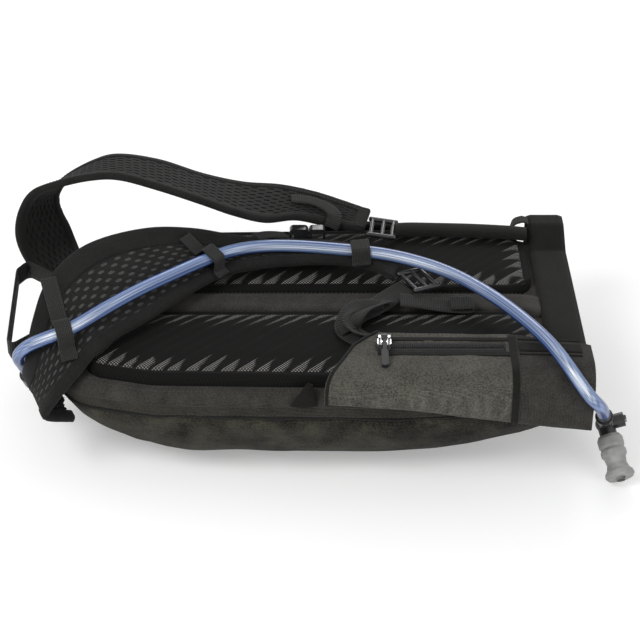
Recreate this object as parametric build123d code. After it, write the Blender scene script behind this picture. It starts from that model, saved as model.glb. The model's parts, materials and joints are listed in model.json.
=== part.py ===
"""Hydration pack lying on its front, back panel up.

Frame: millimetres, +X from the top of the pack to its bottom, +Y to the far side, +Z up.
The floor is Z = 0.  The pack's near side is -Y, and its top end is -X.
"""
from build123d import *
import os
from math import radians, tan

os.makedirs("parts", exist_ok=True)

# ---------------------------------------------------------------- driving dimensions
GAP = 0.3                   # running and seating clearance
WALL = 3.0                  # fabric and foam wall of the shell

# Plan of the pack at the rim: distance along X, and half of the width there.
CENTRE_X = 5.0
TOP_X, TOP_HALF = -212.0, 50.0
SHOULDER_X, SHOULDER_HALF = -180.0, 98.0
CHEST_X, CHEST_HALF = -120.0, 113.0
MID_X, MID_HALF = 60.0, 117.0
HIP_X, HIP_HALF = 150.0, 110.0
BASE_X, BASE_HALF = 197.0, 97.0
TOP_ROUND, SHOULDER_ROUND, CHEST_ROUND, MID_ROUND, HIP_ROUND, BASE_ROUND = 30, 40, 60, 80, 60, 18

# The bowl of the shell: each level's height, its shares of the rim's length and width, and its shift.
RIM_Z = 76.0
BELLY_Z, BELLY_LONG, BELLY_WIDE, BELLY_SHIFT = 54.0, 0.94, 0.965, -3.0
FLANK_Z, FLANK_LONG, FLANK_WIDE, FLANK_SHIFT = 32.0, 0.81, 0.875, -8.0
CURVE_Z, CURVE_LONG, CURVE_WIDE, CURVE_SHIFT = 14.0, 0.64, 0.73, -14.0
FOOT_LONG, FOOT_WIDE, FOOT_SHIFT = 0.44, 0.50, -18.0

PANEL_THICK = 11.0          # back panel, above the rim
PANEL_DRAW = 7.0            # how far its sides lean in
PAD_THICK = 10.0
PAD_START_X, PAD_END_X = -170.0, 165.0
PAD_INNER_Y = 14.0          # half of the air channel
PAD_MARGIN = 3.0            # pad edge from the panel's edge
PAD_ROUND = 14.0
PAD_EDGE_ROUND = 4.0
SHEET_THICK = 1.2

# Reservoir and what hangs it
DIVIDER_Z, DIVIDER_THICK = 31.0, 1.2
RESERVOIR_LONG, RESERVOIR_WIDE, RESERVOIR_THICK = 262.0, 146.0, 24.0
RESERVOIR_BASE_Z = DIVIDER_Z + DIVIDER_THICK + GAP
SLIDE_LONG, SLIDE_WIDE, SLIDE_THICK = 150.0, 13.0, 9.0
CONNECTOR_X = RESERVOIR_LONG / 2 - 38
CONNECTOR_R, CONNECTOR_HIGH = 12.0, 12.0

# Drinking tube, its gland, the elbow and the bite valve
TUBE_OD = 9.5
GLAND_R, GLAND_HIGH = 7.5, 11.0
ELBOW_R = 6.5
BARB_R = 3.1
ELBOW_REACH = 34.0          # from the tube's end to the corner of the elbow
VALVE_TIP = (221.5, -112.0, 8.2)
VALVE_START, VALVE_LONG = 10.0, 33.0
KNOB_R, KNOB_LONG = 5.5, 9.0

# Straps
STRAP_THICK, STRAP_EDGE = 7.0, 3.5
HAUL_WIDE, HAUL_THICK, HAUL_Z = 15.0, 1.8, 85.5
WEB_WIDE, WEB_THICK = 20.0, 1.4
LOOP_WIDE, LOOP_THICK = 12.0, 1.2
TAIL_WIDE, STERNUM_WIDE = 17.0, 12.0
LOCK_WIDE, LOCK_LONG, LOCK_THICK, LOCK_BAR = 29.0, 20.0, 4.0, 3.0
BAND_X, BAND_WIDE, BAND_THICK = 182.0, 29.0, 3.0
FOLD_HIGH, FOLD_Y, FOLD_BACK_Y, FOLD_END_Z = 12.0, 102.0, 122.5, 62.0

# Hip wings
WING_THICK = 8.5
WING_TIP_X, WING_HINGE_X, WING_END_X = 0.0, 138.0, 196.0
WING_GAP = 0.6
ZIP_RIDGE_WIDE, ZIP_RIDGE_HIGH = 6.0, 1.6
SLIDER_LONG, SLIDER_WIDE, SLIDER_HIGH = 10.0, 9.0, 4.5
PULL_LONG, PULL_WIDE, PULL_THICK = 27.0, 5.0, 2.4
PIN_R = 0.9
BRIDGE_HIGH = 4.4

# Chest buckle
BUCKLE_HIGH, BUCKLE_THICK = 15.0, 7.5
FEMALE_LONG, MALE_LONG = 15.0, 13.0
BUCKLE_X, BUCKLE_Y, BUCKLE_Z = -9.0, 68.5, 111.0

# Edges of the shoulder straps from root to end: outer edge, then inner edge.
NEAR_STRAP = [
    ((-197, -64, 57), (-179, -98, 53)),
    ((-216, -64, 69), (-197, -108, 62)),
    ((-214, -69, 86), (-190, -109, 76)),
    ((-209, -52, 111), (-174, -98, 92)),
    ((-200, -27, 129), (-155, -76, 104)),
    ((-176, 2, 140), (-125, -44, 106)),
    ((-137, 30, 138), (-100, -12, 106)),
    ((-100, 50, 127), (-74, 15, 106.5)),
    ((-60, 56, 116), (-48, 26, 107)),
    ((-20, 60, 111), (-18, 32, 107)),
    ((14, 58, 110), (14, 33, 107)),
    ((42, 47, 109.5), (40, 25, 107)),
    ((62, 30, 109), (56, 9.5, 107)),
]
FAR_STRAP = [
    ((-196, 54, 57), (-178, 94, 53)),
    ((-220, 64, 72), (-196, 112, 66)),
    ((-234, 71, 88), (-202, 119, 76)),
    ((-240, 76, 106), (-206, 120, 90)),
    ((-237, 82, 124), (-212, 121, 106)),
    ((-226, 84, 140), (-212, 121, 120)),
    ((-204, 77, 152), (-202, 118, 136)),
    ((-178, 71, 161), (-180, 117, 150)),
    ((-154, 64, 165), (-160, 116, 156)),
    ((-122, 54, 161), (-128, 114, 152)),
    ((-92, 50, 152), (-94, 108, 143)),
    ((-66, 49, 142), (-62, 107, 136)),
    ((-42, 55, 132), (-32, 112, 131)),
    ((-18, 74, 123), (-4, 113, 124)),
    ((8, 79, 114), (22, 112, 115)),
    ((34, 81, 108), (40, 108, 110)),
]

# Route of the drinking tube from its gland to the elbow.
TUBE_ROUTE = [
    (-217.5, -50, 61), (-220, -57, 74), (-221.5, -69, 89), (-212, -78, 104), (-197.5, -79.5, 112),
    (-180, -76, 117), (-157, -58.5, 123.5), (-134.5, -34.5, 124.5), (-112, -11, 123), (-89, 12.5, 121.5),
    (-68, 30, 120.5), (-43.5, 39.5, 119), (-12, 41, 117.5), (19, 36.5, 117), (46, 31.5, 117),
    (72, 22.5, 116), (98, 8, 114.5), (119.5, -13, 113.5), (136, -36, 114), (151, -62, 114.5),
    (163, -86, 114.5), (172, -107, 112.5), (180.5, -122, 105.5), (189.5, -127, 94), (198, -121, 82),
    (203, -110, 69.8), (206, -99, 58),
]


# ---------------------------------------------------------------- helpers
def save(name, shape):
    """Write one node, as its own STEP file."""
    solids = shape.solids()
    export_step(solids[0] if len(solids) == 1 else Compound(children=list(solids)), f"parts/{name}.step")


def cord_path(points):
    """Straight runs joined by tangent arcs, each as large as its two runs allow."""
    points = [Vector(*p) for p in points]
    radii = []
    for before, here, after in zip(points, points[1:], points[2:]):
        shorter = min((here - before).length, (after - here).length)
        turn = (here - before).get_angle(after - here)
        radii.append(0.45 * shorter / tan(radians(turn) / 2))
    return FilletPolyline(*points, radius=radii), radii


def ribbon(stations, thick, edge=None, ruled=False):
    """A strap lofted through pairs of edge points, thick in the middle and thinner at its edges."""
    edge = thick if edge is None else edge
    middles = [(Vector(*a) + Vector(*b)) / 2 for a, b in stations]
    wires = []
    for i, (a, b) in enumerate(stations):
        along = middles[min(i + 1, len(middles) - 1)] - middles[max(i - 1, 0)]
        up = along.cross(Vector(*b) - Vector(*a)).normalized()
        a_low, a_high = Vector(*a) - up * (edge / 2), Vector(*a) + up * (edge / 2)
        b_low, b_high = Vector(*b) - up * (edge / 2), Vector(*b) + up * (edge / 2)
        if thick == edge:
            wires.append(Wire.make_polygon([a_low, a_high, b_high, b_low]))
            continue
        high = ThreePointArc(a_high, middles[i] + up * (thick / 2), b_high)
        low = ThreePointArc(b_low, middles[i] - up * (thick / 2), a_low)
        wires.append(Wire([*high.edges(), Line(b_high, b_low), *low.edges(), Line(a_low, a_high)]))
    return Solid.make_loft(wires, ruled=ruled)


# ---------------------------------------------------------------- shell and back panel
def plan(z, long_share=1.0, wide_share=1.0, shift=0.0, inset=0.0):
    """The pack's outline at a height, drawn in by two shares and a distance, and shifted along X."""
    side = [(TOP_X, TOP_HALF, TOP_ROUND), (SHOULDER_X, SHOULDER_HALF, SHOULDER_ROUND),
            (CHEST_X, CHEST_HALF, CHEST_ROUND), (MID_X, MID_HALF, MID_ROUND),
            (HIP_X, HIP_HALF, HIP_ROUND), (BASE_X, BASE_HALF, BASE_ROUND)]
    long_share -= inset / (CENTRE_X - TOP_X)
    wide_share -= inset / MID_HALF
    side = [(CENTRE_X + shift + (x - CENTRE_X) * long_share, half * wide_share, r * wide_share)
            for x, half, r in side]
    far = [(x, half, z) for x, half, r in side]
    near = [(x, -half, z) for x, half, r in reversed(side)]
    radii = [r for x, half, r in side]
    return FilletPolyline(*far, *near, radius=radii + radii[::-1], close=True).wires()[0]


def bowl(inset=0.0, floor=0.0):
    """The solid inside the shell's outline, drawn in by a distance."""
    return Solid.make_loft([
        plan(floor, FOOT_LONG, FOOT_WIDE, FOOT_SHIFT, inset),
        plan(CURVE_Z + floor * 0.8, CURVE_LONG, CURVE_WIDE, CURVE_SHIFT, inset),
        plan(FLANK_Z + floor * 0.5, FLANK_LONG, FLANK_WIDE, FLANK_SHIFT, inset),
        plan(BELLY_Z, BELLY_LONG, BELLY_WIDE, BELLY_SHIFT, inset),
        plan(RIM_Z, inset=inset),
    ])


def panel_block(outset=0.0):
    """The back panel's form: the rim's outline with sides that lean in."""
    return Solid.make_loft([
        plan(RIM_Z, inset=-outset),
        plan(RIM_Z + PANEL_THICK + outset, inset=PANEL_DRAW - outset),
    ], ruled=True)


PANEL_Z = RIM_Z + PANEL_THICK
PAD_Z = PANEL_Z + PAD_THICK
ZIP_Z, TOP_ZIP_LONG = 63.0, 76.0


def pack_shell():
    shell = bowl() - bowl(inset=WALL, floor=WALL)
    slot = Pos(TOP_X, 0, ZIP_Z) * Box(20, TOP_ZIP_LONG, GROOVE_WIDE)
    tube_hole = Pos(TOP_X, GLAND_Y, GLAND_Z + 6) * Rot(0, 90, 0) * Cylinder(TUBE_OD / 2 + 2 * GAP, 60)
    return shell - slot - tube_hole


def back_pad(side):
    """One mesh-faced foam pad: side is -1 for the near one and 1 for the far one."""
    outline = Face(plan(PANEL_Z, inset=PANEL_DRAW + PAD_MARGIN))
    pad_half = MID_HALF - PAD_INNER_Y
    window = Pos((PAD_START_X + PAD_END_X) / 2, side * (PAD_INNER_Y + pad_half / 2), PANEL_Z) * Rectangle(
        PAD_END_X - PAD_START_X, pad_half)
    shape = outline & window
    shape = shape.faces()[0]
    sharp = [v for v in shape.vertices() if min(abs(v.X - PAD_START_X), abs(v.X - PAD_END_X)) < 0.01]
    shape = shape.fillet_2d(PAD_ROUND, sharp)
    pad = extrude(shape, PAD_THICK, dir=(0, 0, 1))
    return fillet(pad.edges().group_by(Axis.Z)[-1], PAD_EDGE_ROUND)


def frame_sheet():
    top = RIM_Z - GAP
    return Solid.make_loft([plan(top - SHEET_THICK, 0.86, 0.84), plan(top, 0.86, 0.84)], ruled=True)


def divider_sleeve():
    """The cloth floor of the reservoir's pocket, sewn to the shell all round."""
    slab = Pos(CENTRE_X, 0, DIVIDER_Z + DIVIDER_THICK / 2) * Box(
        2 * (BASE_X - TOP_X), 3 * MID_HALF, DIVIDER_THICK)
    return slab & bowl(inset=WALL + GAP, floor=WALL + GAP)


# ---------------------------------------------------------------- reservoir
def reservoir():
    top = RESERVOIR_BASE_Z + RESERVOIR_THICK
    bag = Pos(0, 0, (RESERVOIR_BASE_Z + top) / 2) * Box(RESERVOIR_LONG, RESERVOIR_WIDE, RESERVOIR_THICK)
    bag = fillet(bag.edges().filter_by(Axis.Z), 30)
    return fillet(bag.edges().group_by(Axis.Z)[-1] + bag.edges().group_by(Axis.Z)[0], RESERVOIR_THICK * 0.45)


def reservoir_slide():
    """The slide lock that closes the reservoir's folded top."""
    middle_z = RESERVOIR_BASE_Z + RESERVOIR_THICK / 2
    x = -RESERVOIR_LONG / 2 - SLIDE_WIDE / 2 - GAP
    bar = Pos(x, 0, middle_z) * Box(SLIDE_WIDE, SLIDE_LONG, SLIDE_THICK)
    bar = fillet(bar.edges().filter_by(Axis.Y), 3.5)
    return bar - Pos(x + 3, 0, middle_z) * Box(SLIDE_WIDE, SLIDE_LONG - 12, 2.4)


def reservoir_connector():
    """The quick coupling on the reservoir, with the tube's socket towards the pack's top."""
    base_z = RESERVOIR_BASE_Z + RESERVOIR_THICK
    flange = Pos(CONNECTOR_X, 0, base_z + 1.5) * Cylinder(CONNECTOR_R + 4, 3)
    boss = Pos(CONNECTOR_X, 0, base_z + 3 + CONNECTOR_HIGH / 2) * Cylinder(CONNECTOR_R, CONNECTOR_HIGH)
    boss = fillet(boss.edges().group_by(Axis.Z)[-1], 2)
    socket = Pos(CONNECTOR_X - CONNECTOR_R, 0, INNER_TUBE_Z) * Rot(0, 90, 0) * Cylinder(TUBE_OD / 2, 12)
    return flange + boss - socket


def reservoir_hanger():
    """The tab that hangs the slide lock inside the back panel."""
    x = -RESERVOIR_LONG / 2 - SLIDE_WIDE - 3 * GAP - WEB_THICK / 2
    low = RESERVOIR_BASE_Z + RESERVOIR_THICK / 2 - SLIDE_THICK / 2
    high = RIM_Z - SHEET_THICK - 2 * GAP
    return Pos(x, 0, (low + high) / 2) * Box(WEB_THICK, WEB_WIDE, high - low)


# ---------------------------------------------------------------- tube and valve
GLAND_Y = -50.0
GLAND_Z = TUBE_ROUTE[0][2] - GLAND_HIGH
INNER_TUBE_Z = RESERVOIR_BASE_Z + RESERVOIR_THICK + 8.5


def hose_gland():
    """A moulded hood on the top end that turns the tube up to the strap."""
    mouth = Vector(*TUBE_ROUTE[0])
    heading = (Vector(*TUBE_ROUTE[1]) - mouth).normalized()
    hood = Plane(origin=mouth - heading * GLAND_HIGH, z_dir=heading) * Pos(0, 0, GLAND_HIGH / 2) * Cylinder(
        GLAND_R, GLAND_HIGH)
    flange = Pos(TOP_X + 2, GLAND_Y + 1, GLAND_Z + 4) * Box(15, 2 * GLAND_R, GLAND_HIGH - 3)
    return hood + flange - bowl(inset=-GAP) - panel_block(outset=GAP)


def tube_section(start, heading, outer):
    return Plane(origin=start, z_dir=heading) * Circle(outer / 2)


def drinking_tube():
    path, radii = cord_path(TUBE_ROUTE)
    print("drinking tube arc radii, mm:", [round(r) for r in radii])
    heading = Vector(*TUBE_ROUTE[1]) - Vector(*TUBE_ROUTE[0])
    tube = sweep(tube_section(TUBE_ROUTE[0], heading, TUBE_OD), path=path)
    length = path.length
    print("drinking tube length", round(length), "mm")
    return tube


def inner_tube():
    """The tube's run inside the pack, from the coupling to the gland."""
    start_x = CONNECTOR_X - CONNECTOR_R - 5
    points = [(start_x, 0, INNER_TUBE_Z), (30, -6, INNER_TUBE_Z), (-60, -30, INNER_TUBE_Z),
              (-150, -48, INNER_TUBE_Z - 3), (-200, GLAND_Y, GLAND_Z + 6)]
    path, radii = cord_path(points)
    heading = Vector(*points[1]) - Vector(*points[0])
    return sweep(tube_section(points[0], heading, TUBE_OD), path=path)


def elbow_frames():
    end = Vector(*TUBE_ROUTE[-1])
    inlet = (Vector(*TUBE_ROUTE[-2]) - end).normalized()
    corner = end - inlet * ELBOW_REACH
    outlet = (Vector(*VALVE_TIP) - corner).normalized()
    return corner, end, inlet, outlet


def along(origin, direction, start, length, radius, end_radius=None):
    """A round bar or taper on a line, from a distance along it."""
    plane = Plane(origin=origin + direction * start, z_dir=direction)
    if end_radius is None:
        return plane * Pos(0, 0, length / 2) * Cylinder(radius, length)
    return plane * Pos(0, 0, length / 2) * Cone(radius, end_radius, length)


def valve_elbow():
    """The elbow: a collar and barb in the tube, the cock's body and the spigot of the bite valve."""
    corner, end, inlet, outlet = elbow_frames()
    reach = (end - corner).length
    body = along(corner, inlet, 0, reach - 8, ELBOW_R * 0.8)
    body += along(corner, inlet, reach - 8, 3, ELBOW_R)
    body += along(corner, inlet, reach - 5, 5, ELBOW_R * 0.7)
    body += Pos(*corner) * Sphere(ELBOW_R * 1.15)
    body += along(corner, outlet, 0, VALVE_START - GAP, ELBOW_R)
    body += along(corner, outlet, 0, VALVE_START + 12, BARB_R + 0.9)
    knob_axis = inlet.cross(outlet).normalized()
    seat = along(corner, knob_axis, ELBOW_R, KNOB_LONG, KNOB_R)
    return body - along(corner, knob_axis, ELBOW_R - 1.5, 20, KNOB_R + GAP) - seat


def shutoff_lever():
    """The turned knob of the shut-off cock, with its thumb bar."""
    corner, end, inlet, outlet = elbow_frames()
    knob_axis = inlet.cross(outlet).normalized()
    knob = along(corner, knob_axis, ELBOW_R - 1.5 + GAP, KNOB_LONG, KNOB_R)
    plane = Plane(origin=corner + knob_axis * (ELBOW_R - 1.5 + GAP + KNOB_LONG), x_dir=inlet, z_dir=knob_axis)
    thumb_bar = plane * Box(2 * KNOB_R + 3, 3, 3)
    return knob + thumb_bar


def bite_valve():
    """The silicone bite valve: a ribbed barrel, a waist and a flanged mouth with its cut."""
    corner, end, inlet, outlet = elbow_frames()
    start = VALVE_START
    plane = Plane(origin=corner + outlet * start, z_dir=outlet)
    rings = [(0, 8.2), (2.5, 9.6), (8, 9.6), (10, 8.6), (12, 9.6), (15, 9.6), (17, 8.2), (22, 7.4),
             (26, 8.6), (28.5, 10.6), (31, 11.0), (VALVE_LONG, 9.6)]
    profile = Polyline(*[(r, 0, z) for z, r in rings])
    outline = Wire([*profile.edges(), Line((rings[-1][1], 0, VALVE_LONG), (0, 0, VALVE_LONG)),
                    Line((0, 0, VALVE_LONG), (0, 0, 0)), Line((0, 0, 0), (rings[0][1], 0, 0))])
    barrel = revolve(Face(outline), Axis.Z)
    bore = Pos(0, 0, 7) * Cylinder(BARB_R + 0.9 + GAP, 14)
    mouth = Pos(0, 0, VALVE_LONG) * scale(Sphere(1), (6, 3.4, 2.2))
    return plane * (barrel - bore - mouth)


# ---------------------------------------------------------------- straps and webbing
def seated(shape):
    """Cut a strap back to its seat on the shell and the back panel."""
    rest = shape - bowl(inset=-GAP) - panel_block(outset=GAP)
    return max(rest.solids(), key=lambda s: s.volume)


def clear_of_strap(shape, strap):
    """Cut a shape back to its seat on a strap."""
    wider = [(Vector(*a) + (Vector(*a) - Vector(*b)).normalized() * GAP,
              Vector(*b) + (Vector(*b) - Vector(*a)).normalized() * GAP) for a, b in strap]
    rest = shape - ribbon(wider, STRAP_THICK + 2 * GAP, STRAP_EDGE + 2 * GAP)
    return max(rest.solids(), key=lambda s: s.volume)


def strap_up(strap, station):
    """The way a strap's face looks at one of its stations."""
    before, here, after = (strap[i] for i in (station - 1, station, station + 1))
    forward = Vector(*after[0]) + Vector(*after[1]) - Vector(*before[0]) - Vector(*before[1])
    return (Vector(*here[1]) - Vector(*here[0])).cross(forward).normalized()


def strip(points, radii, thick, plane, width):
    """Webbing bent to a side view: a line in a plane, given thickness there and width across it."""
    line = FilletPolyline(*points, radius=radii)
    outline = line.wires()[0].offset_2d(thick / 2, side=Side.BOTH)
    return extrude(plane * Face(outline), width / 2, both=True)


def edge_point(strap, side, station):
    """A point on a strap's outer (0) or inner (1) edge, between its stations."""
    i = int(station)
    a, b = Vector(*strap[i][side]), Vector(*strap[min(i + 1, len(strap) - 1)][side])
    return a + (b - a) * (station - i)


def tube_loop(run, share, outer_station, inner_station, far_reach, near_reach, width, drop=0.0):
    """An elastic band sewn across the near strap, with a hump that hugs the drinking tube."""
    start, end = Vector(*TUBE_ROUTE[run]), Vector(*TUBE_ROUTE[run + 1])
    forward = (end - start).normalized()
    across = (edge_point(NEAR_STRAP, 1, inner_station) - edge_point(NEAR_STRAP, 0, outer_station)).normalized()
    up = strap_up(NEAR_STRAP, round((outer_station + inner_station) / 2))
    normal = across.cross(up).normalized()
    slant = 1 / abs(normal.dot(forward))
    hug = TUBE_OD / 2 + 2 * GAP + LOOP_THICK / 2
    half = hug * slant + 1
    low = -TUBE_OD / 2 + GAP - drop
    foot = half + 3
    points = [(-far_reach, low), (-foot, low), (-half, hug * slant), (half, hug * slant), (foot, low), (near_reach, low)]
    plane = Plane(origin=start + (end - start) * share, x_dir=across, z_dir=normal)
    loop = strip(points, [2, 3, 3, 2], LOOP_THICK, plane, width)
    return clear_of_strap(loop, NEAR_STRAP)


def haul_loop():
    """The carrying loop at the top end, webbing on edge with both ends sewn into the panel's seam."""
    line = [(-203, 36), (-231, 62), (-238, 50), (-231, -48), (-227, -57), (-203, -33)]
    plane = Plane(origin=(0, 0, HAUL_Z), x_dir=(1, 0, 0), z_dir=(0, 0, 1))
    return seated(strip(line, [4, 6, 6, 3], HAUL_THICK, plane, HAUL_WIDE))


def ladder_lock():
    """A ladder lock: two round-ended side rails and three cross bars, the middle one raised."""
    rail = Rot(0, 90, 0) * Cylinder(LOCK_THICK / 2, LOCK_LONG + LOCK_THICK)
    rail = fillet(rail.edges().filter_by(GeomType.CIRCLE), LOCK_THICK * 0.4)
    shift = (LOCK_WIDE - LOCK_THICK) / 2
    lock = Pos(0, shift, 0) * rail + Pos(0, -shift, 0) * rail
    for x, z, r in ((-LOCK_LONG / 2 + 1.5, 0, LOCK_BAR / 2), (0.5, 0.2, LOCK_BAR / 2),
                    (LOCK_LONG / 2 - 1.5, 0.2, LOCK_BAR / 2 * 1.15)):
        lock += Pos(x, 0, z) * Rot(90, 0, 0) * Cylinder(r, LOCK_WIDE - LOCK_THICK)
    return lock


NEAR_LOCK = Location((75, 8.6, 106.9), (0, 4, 28))
FAR_LOCK = Location((50, 94, 102.6), (0, 6, -6))


def lumbar_band():
    """The wide band over the base of the panel, with the standing fold at its far end."""
    low = PANEL_Z + GAP + BAND_THICK / 2
    top = low + FOLD_HIGH
    line = [(-64, low), (80, low), (FOLD_Y, top), (FOLD_BACK_Y, top), (FOLD_BACK_Y, FOLD_END_Z)]
    plane = Plane(origin=(BAND_X, 0, 0), x_dir=(0, 1, 0), z_dir=(1, 0, 0))
    return strip(line, [12, 10, 8.5], BAND_THICK, plane, BAND_WIDE)


def web(middles, width, thick):
    """Flat webbing along a line, its width level and square to its run."""
    stations = []
    for i, middle in enumerate(middles):
        run = Vector(*middles[min(i + 1, len(middles) - 1)]) - Vector(*middles[max(i - 1, 0)])
        half = Vector(-run.Y, run.X, 0).normalized() * (width / 2)
        stations.append((tuple(Vector(*middle) + half), tuple(Vector(*middle) - half)))
    return ribbon(stations, thick, ruled=True)


def near_adjuster_webbing():
    """From under the ladder lock, down in a slack turn, and under the wing to its root."""
    under_wing = PAD_Z + 0.4 + WEB_THICK / 2
    return web([(66, 4, 103.2), (58, -2, 101.6), (48, -12, 100.6), (37, -23, 100.2), (27, -31, 100),
                (21, -41, 99.6), (22, -52, 98.8), (32, -61, under_wing), (52, -69, under_wing),
                (94, -78, under_wing), (136, -85, under_wing)], WEB_WIDE, WEB_THICK)


def near_webbing_tail():
    """The free end that the ladder lock leaves over."""
    return web([(60, -15, 104.8), (70, -16, 103.8), (82, -16.5, 101.6), (96, -17, 99.4), (109, -17, 98.6)],
               TAIL_WIDE, WEB_THICK)


def far_adjuster_webbing():
    """From the far ladder lock along the pad's far edge to the lumbar band."""
    low = PAD_Z + 0.4 + WEB_THICK / 2
    y = MID_HALF - 25
    return web([(60.5, y + 0.5, 99.2), (72, y, low + 0.4), (84, y, low), (120, y - 0.5, low), (161, y - 2, low)],
               WEB_WIDE * 0.65, WEB_THICK)


def near_sternum_webbing():
    """From the near strap's face down to the female half of the chest buckle."""
    return web([(-50, 52.5, 119), (-41, 58, 117.8), (-33, 63, 115), (-26.5, 67, 112)], STERNUM_WIDE, WEB_THICK)


def far_sternum_webbing():
    """From the far strap's face, round its edge and down to the male half."""
    webbing = ribbon([((-24, 86, 131.2), (-22, 98, 131.6)), ((-8, 87, 128.4), (-6, 99, 128.8)),
                      ((3, 84.5, 124.6), (7, 95, 125.0)), ((7, 79, 122.5), (16, 85, 122.0)),
                      ((4.5, 74.8, 118.4), (16, 75.5, 118)), ((3.2, 73.3, 114.6), (14, 73.1, 114.6))],
                     WEB_THICK, ruled=True)
    return clear_of_strap(webbing, FAR_STRAP)


# ---------------------------------------------------------------- hip wings
def wing_section(x, outer_y, inner_y, top_z, low_z, side):
    """An L across the pack's edge: a leg on the back panel and a leg down its side."""
    points = [(inner_y, top_z), (outer_y, top_z), (outer_y, low_z), (outer_y - WING_THICK, low_z),
              (outer_y - WING_THICK, top_z - WING_THICK), (inner_y, top_z - WING_THICK)]
    radii = [2, 16, 2, 2, 16 - WING_THICK, 2]
    return FilletPolyline(*[(x, side * y, z) for y, z in points], radius=radii, close=True).wires()[0]


NEAR_WING = [(WING_TIP_X, MID_HALF + 11.2, 62.5, 108, 86), (60, MID_HALF + 11.7, 64, 108, 82),
             (143, HIP_HALF + 13.5, 66, 107.5, 66), (WING_END_X, BASE_HALF + 14.5, 72, 103, 51)]


def near_wing_blank():
    return Solid.make_loft([wing_section(*station, -1) for station in NEAR_WING])


def cut_x(shape, low, high):
    size = high - low
    return shape & (Pos((low + high) / 2, 0, 100) * Box(size, 400, 300))


def near_wing():
    """The moving part of the near wing, with its slanted end."""
    blank = cut_x(near_wing_blank(), WING_TIP_X - 1, WING_HINGE_X - WING_GAP / 2)
    slant = Polyline((-30, -140), (0, -140), (4, -124), (23, -83), (44, -62), (44, -50), (-30, -50), close=True)
    cutter = Pos(0, 0, 60) * extrude(make_face(slant), 80)
    return blank - cutter - zip_groove(NEAR_ZIP, NEAR_ZIP_LONG)


def near_wing_root():
    return cut_x(near_wing_blank(), WING_HINGE_X + WING_GAP / 2, WING_END_X)


def far_wing_section(x, inner_y, top_z, low_z):
    outer_y = inner_y + WING_THICK
    points = [(inner_y, low_z), (outer_y, low_z), (outer_y, top_z), (inner_y, top_z)]
    return FilletPolyline(*[(x, y, z) for y, z in points], radius=3.0, close=True).wires()[0]


FAR_WING = [(WING_TIP_X, MID_HALF + 3.2, 93, 66), (60, MID_HALF + 3.6, 89, 52),
            (WING_HINGE_X, HIP_HALF + 5.8, 80, 42), (WING_END_X, BASE_HALF - 4, 80, 38)]


def far_wing():
    blank = cut_x(far_wing_blank(), WING_TIP_X - 1, WING_HINGE_X - WING_GAP / 2)
    return blank - zip_groove(FAR_ZIP, FAR_ZIP_LONG)


def far_wing_blank():
    return Solid.make_loft([far_wing_section(*station) for station in FAR_WING])


# ---------------------------------------------------------------- zips
# Each zip has a plane: X along its teeth, Z out of the cloth, and its pull lies towards -Y.
GROOVE_DEEP, GROOVE_WIDE = 1.6, 12.0
NEAR_ZIP_LONG, FAR_ZIP_LONG = 93.0, 90.0
NEAR_ZIP = Plane(origin=(86.5, -84, 108), x_dir=(1, 0, 0), z_dir=(0, 0, 1))
FAR_ZIP = Plane(origin=(72, MID_HALF + 11.2, 72), x_dir=(-1, 0.035, 0), z_dir=(0.035, 1, 0))
NEAR_PULL_DROOP = 11        # degrees; it lies on the wing
TOP_ZIP = Plane(origin=(TOP_X + 1.2, 0, ZIP_Z), x_dir=(0, -1, 0), z_dir=(-1, 0, 0))


def zip_groove(plane, length):
    return plane * Box(length, GROOVE_WIDE, 2 * GROOVE_DEEP)


def zip_track(plane, length):
    """Tape in the groove and the ridge of closed teeth on it."""
    base = GAP - GROOVE_DEEP
    tape = Pos(0, 0, base + 0.5) * Box(length - 2 * GAP, GROOVE_WIDE - 2 * GAP, 1)
    ridge = Pos(0, 0, base + 1 + ZIP_RIDGE_HIGH / 2) * Box(length - 2 * GAP, ZIP_RIDGE_WIDE, ZIP_RIDGE_HIGH)
    ridge = fillet(ridge.edges().group_by(Axis.Z)[-1].filter_by(Axis.X), 0.6)
    return plane * (tape + ridge)


RIDGE_TOP = GAP - GROOVE_DEEP + 1 + ZIP_RIDGE_HIGH


def zip_slider(plane, offset):
    return plane * Pos(offset, 0, RIDGE_TOP) * slider()


def placed_pull(plane, offset, droop):
    """The pull on its slider's bridge, drooping from the cloth's plane by an angle."""
    return plane * Pos(offset, 0, RIDGE_TOP + BRIDGE_Z) * Rot(droop, 0, 0) * zip_pull()


def slider():
    """A zip slider at the origin, riding a ridge along X whose top is at Z = 0, with a pull's bridge."""
    body = Pos(0, 0, SLIDER_HIGH / 2 - ZIP_RIDGE_HIGH + 0.2) * Box(SLIDER_LONG, SLIDER_WIDE, SLIDER_HIGH)
    body = fillet(body.edges().filter_by(Axis.Z), 2.5)
    body -= Pos(0, 0, GAP - ZIP_RIDGE_HIGH) * Box(SLIDER_LONG + 2, ZIP_RIDGE_WIDE + 2 * GAP, 2 * ZIP_RIDGE_HIGH)
    top = SLIDER_HIGH - ZIP_RIDGE_HIGH + 0.2
    for end in (-1, 1):
        body += Pos(end * 3.4, 0, top + BRIDGE_HIGH / 2) * Box(1.6, 3.0, BRIDGE_HIGH)
    return body + Pos(0, 0, top + BRIDGE_HIGH - PIN_R) * Rot(0, 90, 0) * Cylinder(PIN_R, 6.8)


BRIDGE_Z = SLIDER_HIGH - ZIP_RIDGE_HIGH + 0.2 + BRIDGE_HIGH - PIN_R


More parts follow.
